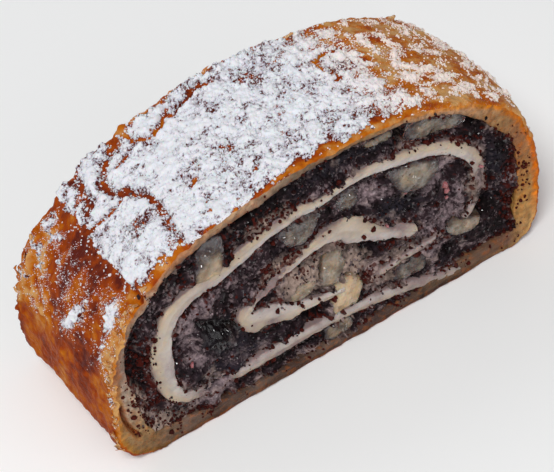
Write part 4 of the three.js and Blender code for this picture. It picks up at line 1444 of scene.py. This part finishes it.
# How far each piece of apple on the front cut stands forward of it.
APPLE_STAND = (0.1, 0, -0.1, 0.3, -0.5, -0.4, 0.2, 0.1, 0, -0.1, -0.3, -0.3)
# Pieces on the front cut, by number: how much painted shade darkens the top against the
# foot, paler where negative, and those cooked so soft that they have no dark edge.
APPLE_TOP_SHADE = {1: 1.1, 2: 0.35, 4: -0.2}
SOFT_APPLE = (7, 8, 9, 10)


def add_apple(side, face, number, piece, material, stand=0, shaded_top=0, soft=False):
    """A piece of apple: rings of its outline's shape go from the middle of the cut face out,
    round its edge, and in to its far end, which narrows by the cube of the way."""
    depth, cream, shade = piece[-3:]
    ring = apple_ring(piece, face)
    middle_x, middle_z = ring.mean(0)
    share = np.array([0.04, 0.16, 0.3, 0.44, 0.58, 0.71, 0.82, 0.91, 0.97, 1])
    rim = np.array([0, 0, 0, 0, 0, 0, 0.03, 0.1, 0.25, 0.5])
    deep = np.array([0.02, 0.1, 0.25, 0.45, 0.65, 0.82, 0.93, 0.98])
    narrow = 1 - 0.55 * deep**3
    size = np.concatenate([share, narrow, [0.3 * narrow[-1], 0.03]])[:, None]
    back = np.concatenate([rim, 0.6 + (depth - 0.6) * deep, [depth, depth]])[:, None]
    x = middle_x + (ring[None, :, 0] - middle_x) * size
    z = middle_z + (ring[None, :, 1] - middle_z) * size
    place = together(x, z, back + 50 * number)
    crown = 0.32 * (1 - size**2) + 0.16 * fractal(place, 2.4, 3, 110)
    back = back - (crown + (stand - 0.2)) * (back < 0.6)
    wobble = 1 + 0.05 * noise(place, 3, 111) * (back > 0.3)
    x = middle_x + (x - middle_x) * wobble
    z = middle_z + (z - middle_z) * wobble
    points = carry_back(x, z, back if face == FRONT else DEPTH - back)
    # Painted shade: the piece is darker above its middle and paler below it.
    top = shaded_top * ((z - middle_z) / (np.ptp(ring[:, 1]) / 2))
    edge = (0.5 if soft else 1.5) * size**5
    masks = {"cream": cream - 0.5 * top, "shade": shade - 0.08 + top + edge}
    add_tube(f"apple_flesh_{side}_{number}", points, material,
             (f"apple_{side}_{number}",), masks)


class STRUDEL_OT_apple(bpy.types.Operator):
    """Make the pieces of apple that show in the cuts"""

    bl_idname = "strudel.apple"
    bl_label = "Apple"

    def execute(self, context):
        material = cooked_apple()
        for number, piece in enumerate(FRONT_APPLE, 1):
            looks = (APPLE_STAND[number - 1], APPLE_TOP_SHADE.get(number, 0), number in SOFT_APPLE)
            add_apple("front", FRONT, number, piece, material, *looks)
        for number, piece in enumerate(REAR_APPLE, 1):
            add_apple("rear", REAR, number, piece, material)
        return {"FINISHED"}


class STRUDEL_OT_icing_sugar(bpy.types.Operator):
    """Make the layer of icing sugar, which dips under the crust where the crust is bare"""

    bl_idname = "strudel.icing_sugar"
    bl_label = "Icing sugar"

    def execute(self, context):
        full = context.scene.strudel_sizes.sugar_depth / MM
        arc = np.linspace(-4, 139, 600)[:, None]
        top = np.linspace(0.25, DEPTH - 0.25, 140)
        under = np.linspace(DEPTH - 0.4, 0.4, 10)
        back = np.concatenate([top, under])[None, :] + 0 * arc
        arcs = arc + 0 * back
        surface, outward = outer_surface(arcs, back)
        relief = crust_relief(arcs, back, surface)
        cover = sugar_cover(arcs, back, surface)
        heaped = 0.27 * fractal(surface, 2.2, 3, 120) + 0.11 * fractal(surface, 0.7, 2, 121)
        depth = full * (0.35 + 0.3 * np.clip(cover, 0, 2)) + heaped
        height = relief + mix(-0.4, depth, smoothstep(-0.25, 0.3, cover))
        is_top = np.arange(back.shape[1])[None, :] < len(top)
        height = np.where(is_top, height, relief - 1.3)
        thin = smoothstep(2, -0.2, cover) - 0.5 * (heaped > 0.15) - 0.6 * smoothstep(76, 96, arcs)
        add_tube("icing_sugar", surface + outward * height[..., None], icing_sugar(),
                 masks={"thin": thin, "tone": warmth(arcs)})
        return {"FINISHED"}


class STRUDEL_OT_sugar_grains(bpy.types.Operator):
    """Scatter clumps of icing sugar over the crust and along the front edge"""

    bl_idname = "strudel.sugar_grains"
    bl_label = "Sugar grains"

    def execute(self, context):
        sizes = context.scene.strudel_sizes
        random = np.random.default_rng(5)
        tries = sizes.sugar_grains * 6
        arc = random.uniform(-3, 140, tries)
        back = random.uniform(0.5, DEPTH - 0.5, tries)
        surface, outward = outer_surface(arc, back)
        cover = sugar_cover(arc, back, surface)
        chance = smoothstep(-3, -0.3, cover) * (1 - 0.85 * smoothstep(0.2, 0.8, cover))
        on_left = arc < 27
        bare_right = (arc > 90) & (cover < -0.9)
        chance *= np.where(on_left, 0.65, 0.6) * np.where(bare_right, 0.2, 1)
        kept = np.flatnonzero(random.uniform(size=tries) < 0.9 * chance)[: sizes.sugar_grains]
        arc, back, surface = arc[kept], back[kept], surface[kept]
        lift = crust_relief(arc, back, surface) + np.where(cover[kept] > 0.1, 0.25, 0.05)
        width = sizes.sugar_grain / MM * random.lognormal(0, 0.35, len(kept))
        width *= np.where(on_left[kept], 0.5, 1)
        centres = surface + outward[kept] * lift[:, None]
        add_lumps("icing_sugar_grains", centres, width, 6, icing_sugar(), warmth(arc))
        return {"FINISHED"}


def scatter_on_cuts(tries, random):
    """Random places inside the wall of both cuts, two for the front to one for the rear: x, z,
    which face, and their distances from the wall's inner edge and from the rolled sheet."""
    x = random.uniform(-50.5, 46.5, tries)
    z = random.uniform(1.5, 51.5, tries)
    face = (random.uniform(size=tries) < 0.3).astype(int)
    to_wall = inside_distance(x, z, INNER_OUTLINE)
    keep = (to_wall > -3.4) & (inside_distance(x, z, OUTLINE[::8]) > 1)
    x, z, face, to_wall = x[keep], z[keep], face[keep], to_wall[keep]
    return x, z, face, to_wall, sheet_distance(x, z)


def kept_places(random, chance, count, x, z, face):
    """The numbers of the first places that a random draw keeps, none of them on apple."""
    on_apple = np.zeros(len(x), bool)
    for side, pieces in ((FRONT, FRONT_APPLE), (REAR, REAR_APPLE)):
        for piece in pieces:
            on_apple |= (face == side) & (inside_distance(x, z, apple_ring(piece, side)) > 0.2)
    return np.flatnonzero((random.uniform(size=len(x)) < chance) & ~on_apple)[:count]


def on_cuts(x, z, face, length, share):
    """Places for lumps just over the filling, or over the dough where the sheet's face is bare: up
    by a share of each one's length, but never so far that it stands too proud of the cut."""
    points = np.empty((len(x), 3))
    for side in (FRONT, REAR):
        here = face == side
        px, pz, size = x[here], z[here], length[here]
        bare = (sheet_distance(px, pz) < 0) & (sheet_cover(px, pz, side) < 0.4)
        bare |= inside_distance(px, pz, INNER_OUTLINE) < -0.2
        height = np.maximum(filling_height(px, pz, side), np.where(bare, 0.05, -9)) + share * size
        points[here] = cut_point(px, pz, side, np.minimum(height, PROUD - 0.6 * size))
    return points


class STRUDEL_OT_seeds(bpy.types.Operator):
    """Scatter broken poppy seeds over the filling, a few of them on the dough"""

    bl_idname = "strudel.seeds"
    bl_label = "Seeds"

    def execute(self, context):
        sizes = context.scene.strudel_sizes
        random = np.random.default_rng(7)
        x, z, face, to_wall, to_sheet = scatter_on_cuts(sizes.seeds * 3, random)
        patchy = noise(together(x, z, 90 * face), 5, 130)
        chance = np.where(to_sheet > 0.1, 0.75 + 0.2 * patchy, 0.035)
        chance = np.where(to_wall > 0, chance, 0.03 * np.exp(to_wall / 0.8))
        kept = kept_places(random, chance, sizes.seeds, x, z, face)
        x, z, face = x[kept], z[kept], face[kept]
        length = sizes.seed_length / MM * random.lognormal(0, 0.22, len(x))
        # The seeds take the filling's paleness at their place, with its painted shade and sheen.
        pale = [filling_masks(x, z, side)["pale"] for side in (FRONT, REAR)]
        tones = 0.6 * np.where(face == FRONT, *pale) + random.normal(0, 0.12, len(x))
        add_lumps("poppy_seeds", on_cuts(x, z, face, length, 0.1), length, 8, seed_husk(),
                  tones)
        return {"FINISHED"}


LARGE_CRUMBS = (  # x, z, length, tone
    (-41.3, 3.9, 1.5, 0.5), (-16, 20.3, 1.4, 0.6), (-12.6, 19.8, 1.2, 0.3), (-10.5, 18, 1.1, 0.8),
    (4.2, 27, 1.3, 0.9), (6.5, 27.5, 1.5, 0.7), (-2.8, 15, 1.2, 1), (-17.6, 31.6, 1.7, 0.9),
    (-16.4, 30.6, 1.2, 0.7), (-18.2, 32.4, 1.1, 1), (30, 30.8, 1.2, 0.8), (26.4, 37.9, 1.3, 0.9),
    (19, 42.4, 1.3, 0.9), (22.5, 41.6, 1.1, 0.7), (11.4, 20.6, 1.4, 0.9), (8.6, 16.8, 1.2, 0.7),
    (-35.4, 31.6, 1.3, 0.8), (-44, 13.4, 1.3, 0.5), (-25.4, 27.4, 1.4, 0.2), (40.9, 21.5, 1.3, 0.8),
    (40, 9.4, 1.5, 0.6), (-7.7, 34.8, 1, 0.9), (36, 22.6, 1.2, 0.5), (21.8, 24.6, 1.3, 0.3),
)
SPECKLED_WALL = (  # the cut wall has crumbs on it here
    (43.5, 23, 2.2, 7, 0, 1.2), (45.6, 25, 1.6, 5, 0, 0.4), (42.5, 8, 3, 4, 0, 0.8),
    (-48.4, 20, 1.3, 8, 4, 1.8), (-45, 7, 3.6, 3.6, -30, 0.8), (-30, 4, 10, 2, 0, 0.5),
)


def placed_on_front(table, share):
    """Places for lumps from a table of x, z and length on the front cut, and the lengths."""
    x, z, length = np.transpose(table)[:3]
    return on_cuts(x, z, np.full(len(x), FRONT), length, share), length


class STRUDEL_OT_crumbs(bpy.types.Operator):
    """Scatter red brown crumbs of husk, mostly where the filling meets the dough"""

    bl_idname = "strudel.crumbs"
    bl_label = "Crumbs"

    def execute(self, context):
        sizes = context.scene.strudel_sizes
        random = np.random.default_rng(9)
        x, z, face, to_wall, to_sheet = scatter_on_cuts(sizes.crumbs * 9, random)
        edge = bell(to_sheet - 0.15, 0.45) + bell(to_wall - 0.3, 0.6)
        here = np.where(face == FRONT, blobs(x, z, RED_PLACES), 0.35)
        here = here + 0.5 * (face == FRONT) * blobs(x, z, SPECKLED_WALL)
        patchy = smoothstep(-0.8, 1, noise(together(x, z, 70 * face), 3.5, 140))
        chance = (0.6 * edge + 0.5 * here + 0.02) * patchy * np.where(to_sheet < -0.1, 0.18, 1)
        chance *= np.where(to_wall > 0, 1, 0.7)
        kept = kept_places(random, chance, sizes.crumbs, x, z, face)
        length = sizes.crumb_length / MM * random.lognormal(-0.1, 0.35, len(kept))
        points = on_cuts(x[kept], z[kept], face[kept], length, 0.12)
        large, large_length = placed_on_front(LARGE_CRUMBS, 0.3)
        tones = random.uniform(0.2, 0.9, len(kept)) + 0.45 * (to_wall[kept] < 0)
        add_lumps("husk_crumbs", np.vstack([points, large]), np.append(length, large_length), 10,
                  husk_crumb(), np.append(tones, [crumb[3] for crumb in LARGE_CRUMBS]))
        return {"FINISHED"}


FRUIT_BITS = (  # x, z, length
    (24.2, 28, 2), (24.5, 26.4, 1.9), (24.2, 24.9, 1.3), (-34.7, 17.5, 1.3), (32.3, 28.5, 1.2),
    (14.4, 31.8, 1.5), (9.6, 26.6, 1),
)


class STRUDEL_OT_fruit(bpy.types.Operator):
    """Make the bits of red fruit in the filling"""

    bl_idname = "strudel.fruit"
    bl_label = "Fruit"

    def execute(self, context):
        points, length = placed_on_front(FRUIT_BITS, 0.15)
        add_lumps("fruit_bits", points, length, 12, fruit_flesh(), 0 * length,
                  (1, 0.7, 0.6))
        return {"FINISHED"}


FLAKES = (  # arc, back, length, width, tilt in the surface, how far it lifts
    (13, 33, 3.4, 1.5, 20, 0.9), (17.5, 32.6, 2.6, 1.2, -25, 0.7), (9, 32.8, 2.6, 1.2, 40, 0.7),
    (21, 33.2, 2, 1, 10, 0.6), (5.5, 0.9, 2.6, 1, 5, 0.4), (10, 0.8, 2.4, 1, -12, 0.5),
    (15.5, 1, 2.8, 1.1, 8, 0.5), (19.5, 1.2, 2, 0.9, 30, 0.5), (24.5, 1.6, 1.8, 0.9, -30, 0.4),
    (56, 33.4, 2.2, 1, 25, 0.6), (50, 33.4, 2.4, 1.2, -15, 0.6), (33, 1.2, 1.6, 0.8, 20, 0.4),
    (64, 33.6, 2, 0.9, 0, 0.6), (112, 33, 2.8, 1.8, 25, 0.9), (86, 33.4, 2.2, 1, -20, 0.8),
    (26.2, 0.5, 2.6, 1.2, 62, 0.8), (30.6, 0.6, 2.4, 1, -48, 0.7),
)
EDGE_FLAKES = 34  # small torn flakes along the front edge of the left side


def all_flakes():
    """The placed flakes, and small ones strewn at random along the torn front edge."""
    random = np.random.default_rng(11)
    ranges = ((-9, 27), (0.2, 1.5), (1.1, 2.6), (0.5, 1.2), (-75, 75), (0.3, 1.1))
    return np.vstack([FLAKES, np.transpose([random.uniform(*r, EDGE_FLAKES) for r in ranges])])


class STRUDEL_OT_flakes(bpy.types.Operator):
    """Make the flakes of crust that stand up along its edges"""

    bl_idname = "strudel.flakes"
    bl_label = "Flakes"

    def execute(self, context):
        # Each flake is a leaf: a disc pulled long, bent up at one end by the square of the way
        # along, with an upper and a lower side that meet at its rim.
        share = np.concatenate([np.linspace(0.06, 1, 8), np.linspace(0.94, 0.06, 7)])[:, None]
        side = np.concatenate([np.ones(8), -np.ones(7)])[:, None]
        turn = np.linspace(0, 2 * np.pi, 28, endpoint=False)[None, :]
        all_points, all_faces, all_rings, browns = [], [], [], []
        for number, (arc, back, length, width, tilt, lift) in enumerate(all_flakes()):
            edge = 1 + 0.16 * np.cos(3 * turn + number) + 0.1 * np.cos(5 * turn + 2 * number)
            along = 0.5 * length * share * edge * np.cos(turn)
            aside = 0.5 * width * share * edge * np.sin(turn)
            rise = lift * ((along / length + 0.5) ** 2) - 0.35 * (aside / width) ** 2
            rise = rise + 0.11 * side * np.sqrt(1 - 0.98 * share**2) - 0.05
            angle = np.radians(tilt)
            arcs = arc + along * np.cos(angle) - aside * np.sin(angle)
            backs = back + along * np.sin(angle) + aside * np.cos(angle)
            backs = np.clip(backs, 0.15, DEPTH - 0.15)
            surface, outward = outer_surface(arcs, backs)
            relief = crust_relief(arcs, backs, surface)
            points = surface + outward * (relief + rise)[..., None]
            faces, rings = tube(*points.shape[:2], number * share.size * turn.size)
            all_points.append(points.reshape(-1, 3))
            all_faces.append(faces)
            all_rings += rings
            browns.append(0.05 + 0.2 * share + 0.15 * noise(points, 1.5, 150))
        browning = np.ravel(browns)
        masks = {"browning": browning, "dust": 0 * browning - 0.35}
        add_piece("crust_flakes", np.vstack(all_points), np.vstack(all_faces), (baked_crust(),),
                  (), masks, all_rings)
        return {"FINISHED"}


# --- the stage ----------------------------------------------------------------------------------

BOARD_HALF = 1.5  # half the width of the board, in metres
LIGHTS = (  # name, place in metres, size, power in watts
    ("window", (-0.4, -0.35, 0.8), 0.32, 5.5), ("far_window", (-0.3, 0.6, 0.6), 0.8, 1.6),
    ("reflector", (0.3, -0.8, 0.35), 0.8, 1.4), ("lamp", (-0.12, -0.7, 0.16), 0.05, 0.3),
)
LIT_PLACE = (0, 0, 0.02)  # where the lights point, in metres
ROOM_LIGHT = 0.32  # how strongly the room lights the slice from all round
CAMERA_LENS, SENSOR_WIDTH = 129.96, 36  # in millimetres
CAMERA_PLACE = (-148.35, -226.21, 296.35)  # in millimetres
CAMERA_AXES = (  # right, up and away, as directions in the frame
    (0.81376, -0.57918, -0.04846), (0.44500, 0.56725, 0.69297), (0.37386, 0.58547, -0.71934),
)


class STRUDEL_OT_stage(bpy.types.Operator):
    """Make the table, the lights and the camera"""

    bl_idname = "strudel.stage"
    bl_label = "Stage"

    def execute(self, context):
        scene = context.scene
        sides = ((-1, -1), (1, -1), (1, 1), (-1, 1))
        corners = [(x * BOARD_HALF, y * BOARD_HALF, 0) for x, y in sides]
        mesh = bpy.data.meshes.new("table")
        mesh.from_pydata(corners, [], [(0, 1, 2, 3)])
        mesh.materials.append(pale_board())
        table = bpy.data.objects.new("table", mesh)
        scene.collection.objects.link(table)
        for name, place, size, power in LIGHTS:
            light = bpy.data.lights.new(name, "AREA")
            light.shape = "DISK"
            light.size = size
            light.energy = power
            lamp = bpy.data.objects.new(name, light)
            lamp.location = place
            direction = Vector(LIT_PLACE) - Vector(place)
            lamp.rotation_euler = direction.to_track_quat("-Z", "Y").to_euler()
            scene.collection.objects.link(lamp)
        world = bpy.data.worlds.new("pale_room")
        world.use_nodes = True
        background = world.node_tree.nodes["Background"]
        background.inputs["Color"].default_value = scene.strudel_colours.room
        background.inputs["Strength"].default_value = ROOM_LIGHT
        scene.world = world
        camera_data = bpy.data.cameras.new("camera")
        camera_data.lens = CAMERA_LENS
        camera_data.sensor_width = SENSOR_WIDTH
        camera = bpy.data.objects.new("camera", camera_data)
        right, up, away = (Vector(axis) for axis in CAMERA_AXES)
        turn = Matrix((right, up, -away)).transposed().to_4x4()
        camera.matrix_world = Matrix.Translation(Vector(CAMERA_PLACE) * MM) @ turn
        scene.collection.objects.link(camera)
        scene.camera = camera
        scene.view_settings.view_transform = "Standard"
        return {"FINISHED"}


class STRUDEL_PT_panel(bpy.types.Panel):
    """The slice's sizes, colours and pieces"""

    bl_idname = "STRUDEL_PT_panel"
    bl_label = "Strudel"
    bl_space_type = "VIEW_3D"
    bl_region_type = "UI"
    bl_category = "Strudel"

    def draw(self, context):
        for group in (context.scene.strudel_sizes, context.scene.strudel_colours):
            box = self.layout.box()
            for name in group.__annotations__:
                box.prop(group, name)
        for operator in OPERATORS:
            self.layout.operator(operator.bl_idname)


OPERATORS = (
    STRUDEL_OT_crust,
    STRUDEL_OT_rolled_dough,
    STRUDEL_OT_filling,
    STRUDEL_OT_apple,
    STRUDEL_OT_icing_sugar,
    STRUDEL_OT_sugar_grains,
    STRUDEL_OT_seeds,
    STRUDEL_OT_crumbs,
    STRUDEL_OT_fruit,
    STRUDEL_OT_flakes,
    STRUDEL_OT_stage,
)
CLASSES = (STRUDEL_PG_sizes, STRUDEL_PG_colours, *OPERATORS, STRUDEL_PT_panel)


def register():
    """Registers the classes and gives the scene its sizes and colours."""
    for item in CLASSES:
        bpy.utils.register_class(item)
    bpy.types.Scene.strudel_sizes = bpy.props.PointerProperty(type=STRUDEL_PG_sizes)
    bpy.types.Scene.strudel_colours = bpy.props.PointerProperty(type=STRUDEL_PG_colours)


def unregister():
    """Takes the sizes, the colours and the classes away again."""
    del bpy.types.Scene.strudel_colours
    del bpy.types.Scene.strudel_sizes
    for item in reversed(CLASSES):
        bpy.utils.unregister_class(item)


def main():
    """Makes every piece and the stage."""
    register()
    for operator in OPERATORS:
        group, name = operator.bl_idname.split(".")
        getattr(getattr(bpy.ops, group), name)()


if __name__ == "__main__":
    main()
